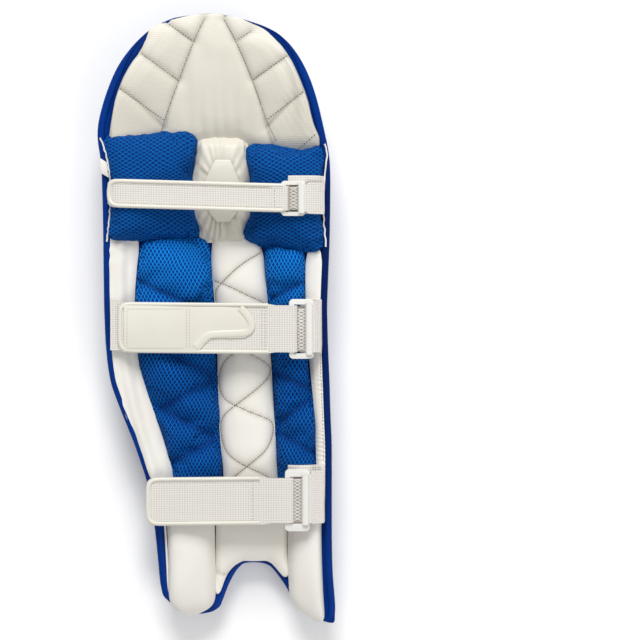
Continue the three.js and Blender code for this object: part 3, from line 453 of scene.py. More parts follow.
for source in SMOOTH:
    covers[source] = cut_lining(source, 0, 2)
for source in FLAT:
    covers[source] = cut_lining(source, 1, 2)
print("covers", len(covers), "points", sum(len(c.data.vertices) for c in covers.values()))

# %% [markdown]
# ## Stuffing the covers
# The side that is sewn to the board is held, and air pressure lifts the rest, so a cover swells between
# its seams and creases along them, as foam in a sewn pocket does. All soft covers are blown up in one run,
# and no point may move further than its cap, so each stays in its own room. The front's rolls are firm
# moulded foam and keep their form.

# %% Cloth settings
def points_of(obj):
    flat = np.zeros(len(obj.data.vertices) * 3)
    obj.data.vertices.foreach_get("co", flat)
    return flat.reshape(-1, 3)


def normals_of(obj):
    flat = np.zeros(len(obj.data.vertices) * 3)
    obj.data.vertex_normals.foreach_get("vector", flat)
    return flat.reshape(-1, 3)


def move_points(obj, points):
    obj.data.vertices.foreach_set("co", np.ascontiguousarray(points, dtype=float).ravel())
    obj.data.update()


RUN = 20
SPARE_CLOTH = 0.03
CAP = {**dict.fromkeys(THIN, 2.0), **dict.fromkeys(THICK, 3.5)}
CAP.update({**dict.fromkeys(SMOOTH, 2.0), **dict.fromkeys(FLAT, 0.5)})


def stuff(obj, spare, bending):
    sewn = np.nonzero(normals_of(obj)[:, 2] < -0.3)[0]
    held = obj.vertex_groups.new(name="sewn")
    held.add(sewn.tolist(), 1.0, "REPLACE")
    cloth = obj.modifiers.new("stuffing", "CLOTH")
    cloth.settings.quality = 4
    cloth.settings.mass = 0.2
    cloth.settings.tension_stiffness = 14
    cloth.settings.compression_stiffness = 10
    cloth.settings.bending_stiffness = bending
    cloth.settings.use_pressure = True
    cloth.settings.uniform_pressure_force = 4
    cloth.settings.shrink_min = -spare
    cloth.settings.vertex_group_mass = "sewn"
    cloth.settings.effector_weights.gravity = 0
    cloth.collision_settings.use_collision = False
    cloth.point_cache.frame_end = RUN

# %% [markdown]
# Taut leather hardly stretches and is stiff to bend, while a loose cover has some spare cloth and falls into
# folds. The run takes twenty frames, then the swollen shapes are kept and the simulation is taken off.

# %% Blow up the covers
scene = bpy.context.scene
soft = {source: obj for source, obj in covers.items() if source not in FRONT}
for source, obj in soft.items():
    taut = source in SMOOTH + FLAT + ["thigh_lining", "instep_lining"]
    stuff(obj, 0.0 if taut else SPARE_CLOTH, 8.0 if taut else 0.6)
for step in range(1, RUN + 1):
    scene.frame_set(step)
ready = bpy.context.evaluated_depsgraph_get()
swollen = {source: points_of(obj.evaluated_get(ready)) for source, obj in soft.items()}
for source, obj in soft.items():
    obj.modifiers.clear()
    obj.vertex_groups.clear()
    start = points_of(obj)
    move = swollen[source] - start
    far = np.linalg.norm(move, axis=1, keepdims=True)
    cap = CAP[source] * MM
    move_points(obj, start + move * np.minimum(1, cap / np.maximum(far, 1e-9)))
scene.frame_set(1)
print("stuffed", len(swollen))

# %% [markdown]
# Rebuilding and smoothing a skin makes it a little smaller, so its plan is stretched back to the size of
# its pad. The heads of the shin pieces and of the knee pad slide a little way under their neighbours, as
# they do in the hand, and the feet reach down to the board's ends.

# %% Plan of the covers
GROW = {**dict.fromkeys(FRONT, 0.0), **dict.fromkeys(THICK, 0.4), **dict.fromkeys(THIN + SMOOTH + FLAT, 0.2)}
GROW.update({"thigh_lining": 1.6, "knee_pad": 5.0, "instep_lining": 1.2, "side_lining_left": 1.5})
TUCK = {"knee_pad": 8.5, "shin_pad": 9, "shin_bolster_left": 7, "shin_bolster_right": 7, "side_lining_left": 5,
        "side_lining_right": 5, "thigh_lining": 2}
TUCK_REACH = 32 * MM
TAIL = {"foot_bolster_left": 4.5, "foot_bolster_right": 5}
TAIL_REACH = 45 * MM


def fit_plan(obj, source):
    points, goal = points_of(obj), points_of(NODES[source])
    for axis in (0, 1, 2) if source in FRONT else (0, 1):
        grow = GROW.get(source, 0) * MM
        low, high = goal[:, axis].min() - grow, goal[:, axis].max() + grow
        now_low, now_high = points[:, axis].min(), points[:, axis].max()
        points[:, axis] = low + (points[:, axis] - now_low) * (high - low) / (now_high - now_low)
    head = np.clip((points[:, 1] - points[:, 1].max() + TUCK_REACH) / TUCK_REACH, 0, 1)
    tail = np.clip((points[:, 1].min() + TAIL_REACH - points[:, 1]) / TAIL_REACH, 0, 1)
    points[:, 1] += (TUCK.get(source, 0) * head - TAIL.get(source, 0) * tail) * MM
    move_points(obj, points)


for source, obj in covers.items():
    subdivide(obj, 1)
    apply_modifiers(obj)
    bpy.ops.object.shade_smooth()
    fit_plan(obj, source)
print("fitted", len(covers), "points", sum(len(c.data.vertices) for c in covers.values()))

# %% [markdown]
# ## Sewing helpers
# A seam is a line in plan. It pulls a narrow valley into the cover, and the cover gathers in small
# ripples beside it. The same call writes the darkened attribute that the materials read, a painted shade
# along the valley.

# %% Lines in plan
def finish_piece(obj, material, slot, *sources, fill=None):
    obj.data.materials.clear()
    obj.data.materials.append(material)
    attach(obj, "root")
    if sources:
        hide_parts(*sources)
    return obj


def mm_line(*pairs):
    return np.array(pairs, float) * MM


PICTURE_X, PICTURE_Y = 216.5, 320
PICTURE_SCALE = 1.18


def photo_line(*pairs):
    """A line measured in the picture's pixels, turned to metres about the middle of the pad."""
    across, down = np.array(pairs, float).T
    return np.column_stack([across - PICTURE_X, PICTURE_Y - down]) * PICTURE_SCALE * MM


def path_run(path):
    return np.concatenate([[0], np.cumsum(np.linalg.norm(np.diff(path, axis=0), axis=1))])


def along_path(path, run, places):
    return np.stack([np.interp(places, run, values) for values in path.T], 1)


def rounded(line, step=3 * MM, passes=2):
    for _ in range(passes):
        a, b = line[:-1], line[1:]
        cut = np.stack([0.75 * a + 0.25 * b, 0.25 * a + 0.75 * b], 1).reshape(-1, 2)
        line = np.vstack([line[:1], cut, line[-1:]])
    run = path_run(line)
    return along_path(line, run, np.linspace(0, run[-1], max(2, int(run[-1] / step))))

# %% [markdown]
# To sew, each point of a cover needs its distance from the seam and how far along the seam it lies. The valley
# fades with the distance, and the ripples beat along the run.

# %% Sewing
def line_distance(points, line):
    nearest = np.full(len(points), 1e9)
    run = np.zeros(len(points))
    start = 0.0
    for a, b in zip(line[:-1], line[1:]):
        step = b - a
        length = np.linalg.norm(step)
        t = np.clip(((points[:, :2] - a) @ step) / length ** 2, 0, 1)
        gap = np.linalg.norm(points[:, :2] - a - t[:, None] * step, axis=1)
        closer = gap < nearest
        nearest[closer] = gap[closer]
        run[closer] = start + t[closer] * length
        start += length
    return nearest, run


def mark(obj, name, amount):
    layer = obj.data.attributes.get(name) or obj.data.attributes.new(name, "FLOAT", "POINT")
    old = np.zeros(len(obj.data.vertices), np.float32)
    layer.data.foreach_get("value", old)
    layer.data.foreach_set("value", np.maximum(old, amount).astype(np.float32))


def sew(obj, line, depth, width, gather=0.0, pitch=9.0, up=1):
    points, normals = points_of(obj), normals_of(obj)
    gap, run = line_distance(points, line)
    open_side = np.clip((up * normals[:, 2] - 0.05) / 0.4, 0, 1)
    valley = np.exp(-gap / (width * MM))
    beat = 2 * np.pi * run / (pitch * MM) + 1.1 * np.sin(run / (2.3 * pitch * MM))
    ripple = np.cos(beat) * np.exp(-gap / (2.4 * width * MM)) * (1 - np.exp(-gap / (0.5 * width * MM)))
    points[:, 2] -= up * open_side * (depth * valley - gather * ripple) * MM
    move_points(obj, points)
    # Painted shade: the valley is marked darker, as shade falls in it.
    mark(obj, "darkened", open_side * np.exp(-gap / (0.35 * width * MM)))

# %% [markdown]
# Leather and mesh are never quite even. A sum of a few slow waves, drawn from a numbered seed so that every run
# gives the same, rumples a cover slightly. A corner that is pulled in the sewing is drawn along with its
# neighbourhood.

# %% Rumples and corners
def waves(points, length, seed, count=6):
    chance = np.random.default_rng(seed)
    total = np.zeros(len(points))
    for _ in range(count):
        angle, phase = chance.uniform(0, 2 * np.pi, 2)
        pace = 2 * np.pi / (length * MM) * chance.uniform(0.6, 1.5)
        total += np.sin(pace * (points[:, 0] * np.cos(angle) + points[:, 1] * np.sin(angle)) + phase)
    return total / count


def rumple(obj, length, height, seed, up=1):
    points, normals = points_of(obj), normals_of(obj)
    open_side = np.clip((up * normals[:, 2] + 0.2) / 0.5, 0, 1)
    points[:, 2] += up * open_side * waves(points, length, seed) * height * MM
    move_points(obj, points)


def pull_corner(points, place, move, reach):
    """Draws the points round a place in plan along with it, less and less towards the reach."""
    gap = np.linalg.norm(points[:, :2] - np.array(place) * MM, axis=1)
    points[:, :2] += np.array(move) * MM * np.exp(-(gap / (reach * MM)) ** 2)[:, None]


# %% [markdown]
# Many pieces lie on other pieces. A ray from above, or from below, finds the height of a surface at a place
# in plan, and a line of such places gives the heights along a seam or a cord.

# %% Heights
def tree_of(*objects):
    points, faces = [], []
    for obj in objects:
        first = len(points)
        points += [tuple(v.co) for v in obj.data.vertices]
        faces += [[first + i for i in face.vertices] for face in obj.data.polygons]
    return BVHTree.FromPolygons(points, faces)


def height_at(tree, x, y, below=False):
    start, way = ((x, y, -0.1), (0, 0, 1)) if below else ((x, y, 0.3), (0, 0, -1))
    hit = tree.ray_cast(Vector(start), Vector(way))
    return hit[0].z if hit[0] else None


def heights_along(tree, line, below=False, missing=None):
    found = [height_at(tree, x, y, below) for x, y in line]
    return np.array([missing if height is None else height for height in found])


# %% [markdown]
# ## Facing and rim
# The blue facing wraps a foam board and turns over its edge in a soft roll. The board is a copy of the
# CAD shell with subdivided faces, so its outline flows, and the roll is a round bar bent along the edge of
# its upper side. At the top of the dome the lining hides the roll, so the bar thins out there.

# %% Facing shell
ARCH_MIDDLE, ARCH_REACH, ARCH_DROP = 47, 17, 3.0
ARCH_TOP, ARCH_FADE = -262, 18


def settle_arch(points):
    """Draws the crown of the arch between the feet down, which makes it flat."""
    crown = np.clip(1 - ((points[:, 0] / MM - ARCH_MIDDLE) / ARCH_REACH) ** 2, 0, 1)
    points[:, 1] -= ARCH_DROP * MM * crown * np.clip((ARCH_TOP - points[:, 1] / MM) / ARCH_FADE, 0, 1)
    return points


shell = copy_node("facing", "facing_shell")
bpy.ops.object.shade_smooth_by_angle(angle=math.radians(50))
shell_points = points_of(shell)
upper = {}
for face in shell.data.polygons:
    if face.normal.z > 0.5:
        for key in face.edge_keys:
            upper[key] = upper.get(key, 0) + 1
links = {}
for (a, b), uses in upper.items():
    if uses == 1:
        links.setdefault(a, []).append(b)
        links.setdefault(b, []).append(a)
loop = [next(iter(links))]
while True:
    onward = [v for v in links[loop[-1]] if v not in loop[-2:]]
    if not onward or onward[0] == loop[0]:
        break
    loop.append(onward[0])
rim_points = shell_points[loop]
edit_whole(shell, bpy.ops.mesh.tris_convert_to_quads)
for kind in ("SIMPLE", "CATMULL_CLARK"):
    subdivide(shell, 1, kind)
apply_modifiers(shell)
fit_plan(shell, "facing_shell")
move_points(shell, settle_arch(points_of(shell)))
bpy.ops.object.shade_smooth()
finish_piece(shell, BLUE_LEATHER, "blue_leather", "facing_shell")
print("rim points", len(rim_points))


# %% [markdown]
# ## Rolled edges
# Bindings, piping and the rim are all the same thing: an oval section swept along a line. A curve with an
# oval bevel does that, and is then turned into a mesh.

# %% Sweep helper
def sweep(name, path, width, height, closed=False, sides=3, thickness=None):
    bpy.ops.object.select_all(action="DESELECT")
    bpy.ops.curve.primitive_bezier_circle_add(radius=0.5 * MM)
    oval = bpy.context.object
    oval.scale = (width, height, 1)
    bpy.ops.object.transform_apply(location=False, rotation=False, scale=True)
    oval.data.resolution_u = sides
    data = bpy.data.curves.new(name, "CURVE")
    data.dimensions = "3D"
    data.twist_mode = "Z_UP"
    data.bevel_mode = "OBJECT"
    data.bevel_object = oval
    data.use_fill_caps = not closed
    spline = data.splines.new("POLY")
    spline.points.add(len(path) - 1)
    spline.points.foreach_set("co", np.column_stack([path, np.ones(len(path))]).ravel())
    if thickness is not None:
        spline.points.foreach_set("radius", thickness)
    spline.use_cyclic_u = closed
    obj = bpy.data.objects.new(name, data)
    bpy.context.scene.collection.objects.link(obj)
    take(obj)
    bpy.ops.object.convert(target="MESH")
    obj = bpy.context.object
    edit_whole(obj, bpy.ops.mesh.normals_make_consistent, inside=False)
    bpy.ops.object.shade_smooth()
    bpy.data.objects.remove(oval)
    return obj


def inward(path, distance):
    before, after = np.roll(path, 1, 0), np.roll(path, -1, 0)
    along = after[:, :2] - before[:, :2]
    along /= np.linalg.norm(along, axis=1, keepdims=True)
    area = 0.5 * np.sum(path[:, 0] * after[:, 1] - after[:, 0] * path[:, 1])
    side = np.column_stack([-along[:, 1], along[:, 0]]) * np.sign(area)
    moved = path.copy()
    moved[:, :2] += side * distance
    return moved


def even(path, step, closed=False):
    if closed:
        path = np.vstack([path, path[:1]])
    run = path_run(path)
    count = max(3, int(run[-1] / step))
    return along_path(path, run, np.linspace(0, run[-1], count, endpoint=not closed))


def softened(path, passes, closed=False):
    for _ in range(passes):
        if closed:
            path = 0.25 * np.roll(path, 1, 0) + 0.5 * path + 0.25 * np.roll(path, -1, 0)
        else:
            path[1:-1] = 0.25 * path[:-2] + 0.5 * path[1:-1] + 0.25 * path[2:]
    return path

# %% [markdown]
# The rim roll follows the edge of the board, set in by half its width. Along the straight edge the
# leather of the rim and the board is darker, most of all along its middle.

# %% Rim roll
rim_edge = settle_arch(softened(even(rim_points, 4 * MM, True), 8, True))
RIM_FULL, RIM_GONE = 296 * MM, 342 * MM
rim_thickness = np.clip((RIM_GONE - rim_edge[:, 1]) / (RIM_GONE - RIM_FULL), 0.15, 1)
RIM_WIDTH, RIM_HEIGHT = 8.6, 8.0
RIM_INSET, RIM_SINK = 3.6 * MM, 3.4 * MM
rim_path = inward(rim_edge, (RIM_INSET * rim_thickness)[:, None])
rim_path[:, 2] -= RIM_SINK * rim_thickness
rim = sweep("rim_roll", rim_path, RIM_WIDTH, RIM_HEIGHT, True, thickness=rim_thickness)
finish_piece(rim, BLUE_LEATHER, "blue_leather")
EDGE_DARKENING = [(-300, 0), (-200, 0.5), (-60, 0.75), (150, 0.75), (200, 0.3), (230, 0)]
for obj in (shell, rim):
    points = points_of(obj)
    straight_edge = np.clip((points[:, 0] - 90 * MM) / (20 * MM), 0, 1)
    mark(obj, "darkened", straight_edge * np.interp(points[:, 1] / MM, *np.array(EDGE_DARKENING).T))
print("rim", len(rim.data.polygons), "faces")

# %% [markdown]
# On the front the facing is bound with a narrower roll, which runs once round the whole outline.

# %% Front binding
shell_tree = tree_of(shell)
well_inside = inward(rim_edge, 6 * MM)
front_heights = heights_along(shell_tree, well_inside[:, :2], True, 30 * MM)
binding_path = inward(rim_edge, 2.4 * MM)
binding_path[:, 2] = softened(front_heights, 6, True) + 1.0 * MM
front_binding = sweep("front_binding", binding_path, 6.0, 4.4, True)
finish_piece(front_binding, BLUE_LEATHER, "blue_leather")
print("front binding", len(front_binding.data.polygons), "faces")

# %% [markdown]
# ## Front rolls
# The front meets the ball: seven long rolls on the shin, three across the knee, flutes on the thigh and a
# panel over the instep. The knee rolls are tied down by tufts, which leave small dimples a third of the way
# down, and the sides of the thigh have pressed grooves.

# %% Front pieces
TUFTS = [-96, -40, 30, 90]
TUFT_DEPTHS = [(3.2, 4.5), (2.2, 13)]
TUFT_ROW, TUFT_SAG, HALF_WIDTH = 0.66, 9, 126
KNEE_HEIGHTS = {"knee_roll_upper": (181, 226), "knee_roll_middle": (145, 180), "knee_roll_lower": (99, 144)}
GROOVES = [
    mm_line((108.3, 279.7), (84.8, 275.9), (82, 285.4), (83, 321.1)),
    mm_line((118, 262.8), (98, 262.8), (67.9, 247.7), (52.8, 238.3)),
    mm_line((118, 255.2), (101.7, 253.4), (95.1, 245.8), (122.5, 225.1)),
]
ARCH_FLANK = [(300, 74), (315, 86), (335, 96), (347, 107)]
for source in FRONT:
    piece = covers[source]
    rumple(piece, 110, 0.15, len(source), -1)
    if source in KNEE_HEIGHTS:
        low, high = KNEE_HEIGHTS[source]
        points, front_side = points_of(piece), np.clip(-normals_of(piece)[:, 2], 0, 1)
        for tuft in TUFTS:
            row = low + TUFT_ROW * (high - low) - TUFT_SAG * (tuft / HALF_WIDTH) ** 2
            gap = np.linalg.norm(points[:, :2] - np.array([tuft, row]) * MM, axis=1)
            for depth, width in TUFT_DEPTHS:
                points[:, 2] += front_side * depth * MM * np.exp(-(gap / (width * MM)) ** 2)
        move_points(piece, points)
    if source == "shin_roll_1":
        points = points_of(piece)
        arch_edge = np.interp(-points[:, 1], *np.array(ARCH_FLANK).T * MM)
        points[:, 0] = np.maximum(points[:, 0], arch_edge)
        move_points(piece, points)
    if source in ("thigh_side_left", "thigh_side_right"):
        side = 1 if source == "thigh_side_right" else -1
        for groove in GROOVES:
            sew(piece, rounded(groove * [side, 1]), 2.6, 3.5, up=-1)
    points = settle_arch(points_of(piece))
    points[:, 2] = np.maximum(points[:, 2], 0.0)
    move_points(piece, points)
    finish_piece(piece, BLUE_LEATHER, "blue_leather", source, fill=0.8)
print("front pieces", len(FRONT))

# %% [markdown]
# ## Thigh lining
# White leather over thin foam, quilted by a narrow middle panel and ribs that run out to the dome's edge.
# The seams are read off the picture and pulled into the cover one by one.

# %% Thigh lining
THIGH_SEAMS = [
    photo_line((204.6, 19.5), (193.6, 42), (178.5, 80.5), (164, 120), (159, 136)),
    photo_line((224.4, 20.5), (236, 41.5), (252.6, 80), (266, 120), (277, 142)),
    photo_line((169, 24.8), (193.6, 42)), photo_line((137, 51), (178.5, 80.5)),
    photo_line((118, 87.6), (164, 120)), photo_line((251, 32), (236, 41.5)),
    photo_line((290, 54.5), (252.6, 80)), photo_line((306, 90.5), (266, 120)),
    photo_line((318, 133), (297, 150)),
]
thigh = covers["thigh_lining"]
EDGE_HEIGHTS = [228, 264, 283, 293, 302, 311, 321, 330, 336, 341, 350, 358]
LEFT_EDGE = [5, 4.3, 4.8, 5.6, 6.6, 8.2, 6.8, 3, -1, -5, -6, 0]
RIGHT_EDGE = [2.4, 2.4, 2.4, 2.4, 2.4, 2.4, 2.4, 2, 1, -1, -5, 0]
EDGE_FADE = 45 * MM
points = points_of(thigh)
left_seam, right_seam = (np.interp(points[:, 1], *seam[::-1, ::-1].T) for seam in THIGH_SEAMS[:2])
left_of, right_of = left_seam - points[:, 0], points[:, 0] - right_seam
for outside, inset, way in ((left_of, LEFT_EDGE, 1), (right_of, RIGHT_EDGE, -1)):
    near_edge = np.clip(outside / EDGE_FADE, 0, 1)
    points[:, 0] += way * near_edge * np.interp(points[:, 1] / MM, EDGE_HEIGHTS, inset) * MM
move_points(thigh, points)
for line in THIGH_SEAMS:
    sew(thigh, rounded(line), 3.6, 6.0, 0.16, 7.0)
points, normals = points_of(thigh), normals_of(thigh)
low_down = np.clip((300 * MM - points[:, 1]) / (80 * MM), 0, 1)
sway = 1.3 * np.sin(points[:, 1] / (34 * MM)) + 1.5 * np.sin(points[:, 0] / (17 * MM))
fold = np.sin(points[:, 0] / (2.5 * MM) + sway)
in_middle = np.exp(-((points[:, 0] - 2 * MM) / (42 * MM)) ** 4)
FOLD_HEIGHT = 0.75 * MM
points[:, 2] += np.clip(normals[:, 2], 0, 1) * low_down * in_middle * fold * FOLD_HEIGHT
LOWER_EDGE, EDGE_DROP, EDGE_TAIL = 229 * MM, 6.5 * MM, 18 * MM
drop = np.clip((LOWER_EDGE - points[:, 1]) / (18 * MM), 0, 1)
beside_knee = 1 - np.exp(-((points[:, 0] - 6 * MM) / (36 * MM)) ** 4)
points[:, 2] -= EDGE_DROP * drop * drop * (3 - 2 * drop) * (0.3 + 0.7 * beside_knee)
points[:, 1] -= EDGE_TAIL * beside_knee * np.clip((256 * MM - points[:, 1]) / (44 * MM), 0, 1)
pull_corner(points, (118, 200), (8, 0), 22)
move_points(thigh, points)
# Painted shade: the lining is painted darker towards its lower edge, where the bolsters shade it.
LOW_EDGE_SHADE, RIB_FADE = 0.33, 10 * MM
mark(thigh, "darkened", LOW_EDGE_SHADE * low_down)
outside = np.maximum(left_seam - points[:, 0], points[:, 0] - right_seam)
mark(thigh, "ribbed", np.clip(outside / RIB_FADE, 0, 1))
rumple(thigh, 90, 0.35, 3)
finish_piece(thigh, LINING, "white_leather", "thigh_lining", fill=0.6)
print("thigh seams", len(THIGH_SEAMS))

# %% [markdown]
# ## Knee
# Two mesh bolsters hug the knee, with a white pad between them. The pad is gathered round a raised patch,
# so its folds run out from the patch like rays.

# %% Knee pieces
KNEE_HEADS = {"knee_bolster_left": [(-135, 4), (-100, 4), (-40, 3), (-24, 2)],
              "knee_bolster_right": [(39, 0), (63, -2.5), (85, -5), (99, -7), (112, -4), (125, 2.5)]}
for source, head in KNEE_HEADS.items():
    points = points_of(covers[source])
    rise = np.interp(points[:, 0] / MM, *np.array(head).T) * MM
    points[:, 1] += rise * np.clip((points[:, 1] - 172 * MM) / (34 * MM), 0, 1)
    move_points(covers[source], points)
    rumple(covers[source], 75, 0.8, len(source))
    finish_piece(covers[source], KNEE_MESH, "blue_mesh", source, fill=0.85)
PATCH_MIDDLE = np.array([6.5, 154]) * MM
knee = covers["knee_pad"]
points, normals = points_of(knee), normals_of(knee)
HEAD_START, HEAD_REACH, HEAD_DROP = 204 * MM, 14 * MM, 6 * MM
head = np.clip((points[:, 1] - HEAD_START) / HEAD_REACH, 0, 1)
points[:, 2] -= HEAD_DROP * head * head * (3 - 2 * head)
ray = points[:, :2] - PATCH_MIDDLE
angle = np.arctan2(ray[:, 1] * 0.62, ray[:, 0])
PATCH_HALF = np.array([21, 36]) * MM
reach = np.linalg.norm(ray / PATCH_HALF, axis=1) - 1
tall = 0.3 + 0.7 * np.abs(np.sin(angle)) ** 2
low_side = np.where(ray[:, 1] < 0, 1.4, 0.8)
RAYS, RAY_HEIGHT = 22, 1.5 * MM
gather = np.cos(RAYS * angle + 2.6 * np.sin(3 * angle) + 1.2 * np.sin(7 * angle)) * tall * low_side
gather *= np.exp(-np.clip(reach, 0, 9) / 0.9) * np.clip((reach + 0.2) / 0.25, 0, 1)
points[:, 2] += np.clip(normals[:, 2], 0, 1) * gather * RAY_HEIGHT
move_points(knee, points)
# Painted shade in the valleys of the gathers; the whole pad is also a little darker.
mark(knee, "darkened", np.clip(-gather - 0.45, 0, 1) * 0.4 + 0.2)
PATCH_ROWS = np.array([(116, 0, 15), (127, -9, 24), (160, -15.5, 28.5), (189, -2, 16)])
patch_edge = np.vstack([PATCH_ROWS[:, [1, 0]], PATCH_ROWS[::-1, [2, 0]], PATCH_ROWS[:1, [1, 0]]]) * MM
sew(knee, even(patch_edge, 2 * MM), 1.6, 2.2)
finish_piece(knee, LINING, "white_leather", "knee_pad", fill=0.6)
print("knee pieces", len(KNEE_HEADS) + 1)

# %% [markdown]
# ## Shin
# Two mesh bolsters quilted in zigzags lie on each side of a white pad with two crossing wavy seams. The
# outer linings are thin: the left one lies in long soft folds, and the right one is pleated.

# %% Shin bolsters
ZIGZAG_LEFT = [
    photo_line((137, 280), (176, 299), (215, 315)), photo_line((139, 336), (176, 356), (217.5, 378)),
    photo_line((217.5, 378), (160, 409)), photo_line((160, 409), (218, 439)),
    photo_line((218, 439), (172, 462)),
]
ZIGZAG_RIGHT = [
    photo_line((305, 281), (270, 299)), photo_line((275, 374), (312, 390)),
    photo_line((312, 398), (276, 424)), photo_line((275, 432), (314, 453)),
    photo_line((268, 309), (305, 334)),
]
ZIGZAGS = {"shin_bolster_left": ZIGZAG_LEFT, "shin_bolster_right": ZIGZAG_RIGHT}
LIT_START, LIT_REACH = -60 * MM, 130 * MM
for source, lines in ZIGZAGS.items():
    piece = covers[source]
    for line in lines:
        sew(piece, rounded(line), 6.0, 8.0, 0.5, 10.0)
    rumple(piece, 70, 0.5, len(source))
    # Painted light: the mesh is painted lighter towards its upper end, nearer the window.
    mark(piece, "lit_end", np.clip((points_of(piece)[:, 1] - LIT_START) / LIT_REACH, 0, 1))
    finish_piece(piece, SHIN_MESH, "blue_mesh", source, fill=0.85)

# %% [markdown]
# The pad on the shin bone is sewn with two long waves of dark thread, which cross each other on their way down.

# %% Shin pad
WAVES = [
    mm_line((62, 88), (55.6, 82), (27, 65), (6.7, 45), (-1, 37.6), (-2.5, 27), (0.5, 14), (8, 0), (20, -18),
            (37, -39), (51, -46.3), (62, -53.7), (64.3, -59.2), (60, -70.3), (42, -86), (21.5, -101),
            (9.5, -111), (5, -119), (3.8, -128.4), (5, -141.3), (10.4, -156), (19.6, -165), (38, -175.4),
            (54.7, -182.4), (66, -190)),
    mm_line((-3, 46.8), (16, 39.4), (38, 28.4), (57, 20.6), (60, 10), (56, -8), (40, -24), (22, -38),
            (8.6, -48), (2.2, -63), (1.6, -75), (4, -86), (10.4, -95), (21.5, -101), (42, -110),
            (63.5, -118.2), (66.8, -125.6), (66, -135.7), (62, -147.7), (54.7, -158), (43.6, -167),
            (25, -182), (16, -190)),
]
WAVES = [rounded(line) for line in WAVES]
shin = covers["shin_pad"]
for line in WAVES:
    sew(shin, line, 1.6, 6.0, 0.05, 8.0)
finish_piece(shin, WHITE_LEATHER, "white_leather", "shin_pad", fill=0.7)

# %% [markdown]
# The side linings are single leather over a little foam. A long fold runs down the left one beside its edge,
# and the right one is taken up in small slanted pleats, which are deeper lower down.

# %% Side linings
left = covers["side_lining_left"]
points, normals = points_of(left), normals_of(left)
FOLD_LINE = mm_line((-112, 92), (-113, 30), (-110, -40), (-98, -100), (-84, -150), (-70, -196))
gap, _ = line_distance(points, rounded(FOLD_LINE))
open_side = np.clip(normals[:, 2], 0, 1)
fold = np.exp(-(gap / (5 * MM)) ** 2) - 0.6 * np.exp(-((gap - 8 * MM) / (4 * MM)) ** 2)
near_knee = np.clip((points[:, 1] - 55 * MM) / (30 * MM), 0, 1)
points[:, 2] += open_side * (1.6 * fold + 1.2 * near_knee * waves(points, 16, 8)) * MM
move_points(left, points)
finish_piece(left, SHADED_WHITE_LEATHER, "white_leather", "side_lining_left", fill=0.3)

right = covers["side_lining_right"]
points, normals = points_of(right), normals_of(right)
slant = points[:, 1] + 0.35 * points[:, 0]
pleat = np.sin(slant / (0.78 * MM) + 2.1 * np.sin(slant / (13 * MM)) + 0.8 * np.sin(points[:, 0] / (3 * MM)))
pleat *= 0.55 + 0.45 * np.sin(slant / (9 * MM) + 1.7 * np.sin(slant / (31 * MM)))
pleat *= np.clip((60 * MM - points[:, 1]) / (90 * MM), 0.5, 1)
PLEAT_HEIGHT = 0.8 * MM
points[:, 2] += np.clip(normals[:, 2], 0, 1) * pleat * PLEAT_HEIGHT
move_points(right, points)
# Painted shade in the valleys of the pleats.
mark(right, "darkened", np.clip(-pleat, 0, 1) * 0.35)
finish_piece(right, WHITE_LEATHER, "white_leather", "side_lining_right", fill=0.3)
print("shin seams", sum(len(lines) for lines in ZIGZAGS.values()) + len(WAVES))

# %% [markdown]
# ## Feet
# Two firm bolsters flank the boot, and a thin pad covers the arch between them. Its lower left corner is
# drawn down beside the bolster and puckers there.

# %% Foot pieces
instep = covers["instep_lining"]
points = settle_arch(points_of(instep))
pull_corner(points, (0, -318), (0, -14), 16)
pull_corner(points, (76, -298), (2.5, -7), 14)
move_points(instep, points)
right_foot = covers["foot_bolster_right"]
points = points_of(right_foot)
pull_corner(points, (94, -336), (-3, 0), 18)
move_points(right_foot, points)
sew(instep, rounded(mm_line((0, -299), (5, -303), (14, -303))), 2.2, 3.5)
for source in ("foot_bolster_left", "foot_bolster_right", "instep_lining"):
    rumple(covers[source], 120, 0.3, len(source))
    finish = WHITE_LEATHER if source == "instep_lining" else SHADED_WHITE_LEATHER
    finish_piece(covers[source], finish, "white_leather", source, fill=0.8)
    print(source, len(covers[source].data.polygons), "faces")

# %% [markdown]
# ## Straps
# A strap is sewn to the left edge, runs over the pads, goes through its ring and comes back over itself as
# a flap with rounded corners. It starts as a flat grid, whose length is laid along the path of the CAD
# strap, and gets its thickness from a Solidify modifier.

# %% Strap paths
STRAPS = {
    "top": dict(sewn=-127.5, tip=-127, ring=91, width=33, webbing=29, y_left=148.5, y_right=142,
                bound=78.5, tuck=9),
    "middle": dict(sewn=-124.5, tip=-115, ring=100, width=59, webbing=55, y_left=-8.5, y_right=-10.5,
                   bound=60.8, tuck=0),
    "bottom": dict(sewn=-83.5, tip=-82.5, ring=95.5, width=56, webbing=53, y_left=-214, y_right=-212,
                   bound=51.3, tuck=8),
}
STRAP_THICKNESS = 2.0
SLOT = 17.0
FLAP_CORNER = 9.0
FOLD_TURN = np.radians(np.arange(-75, 76, 15))


def strap_middle(strap, x):
    share = (x - strap["sewn"] * MM) / ((strap["ring"] - strap["sewn"]) * MM)
    return (strap["y_left"] + (strap["y_right"] - strap["y_left"]) * share) * MM


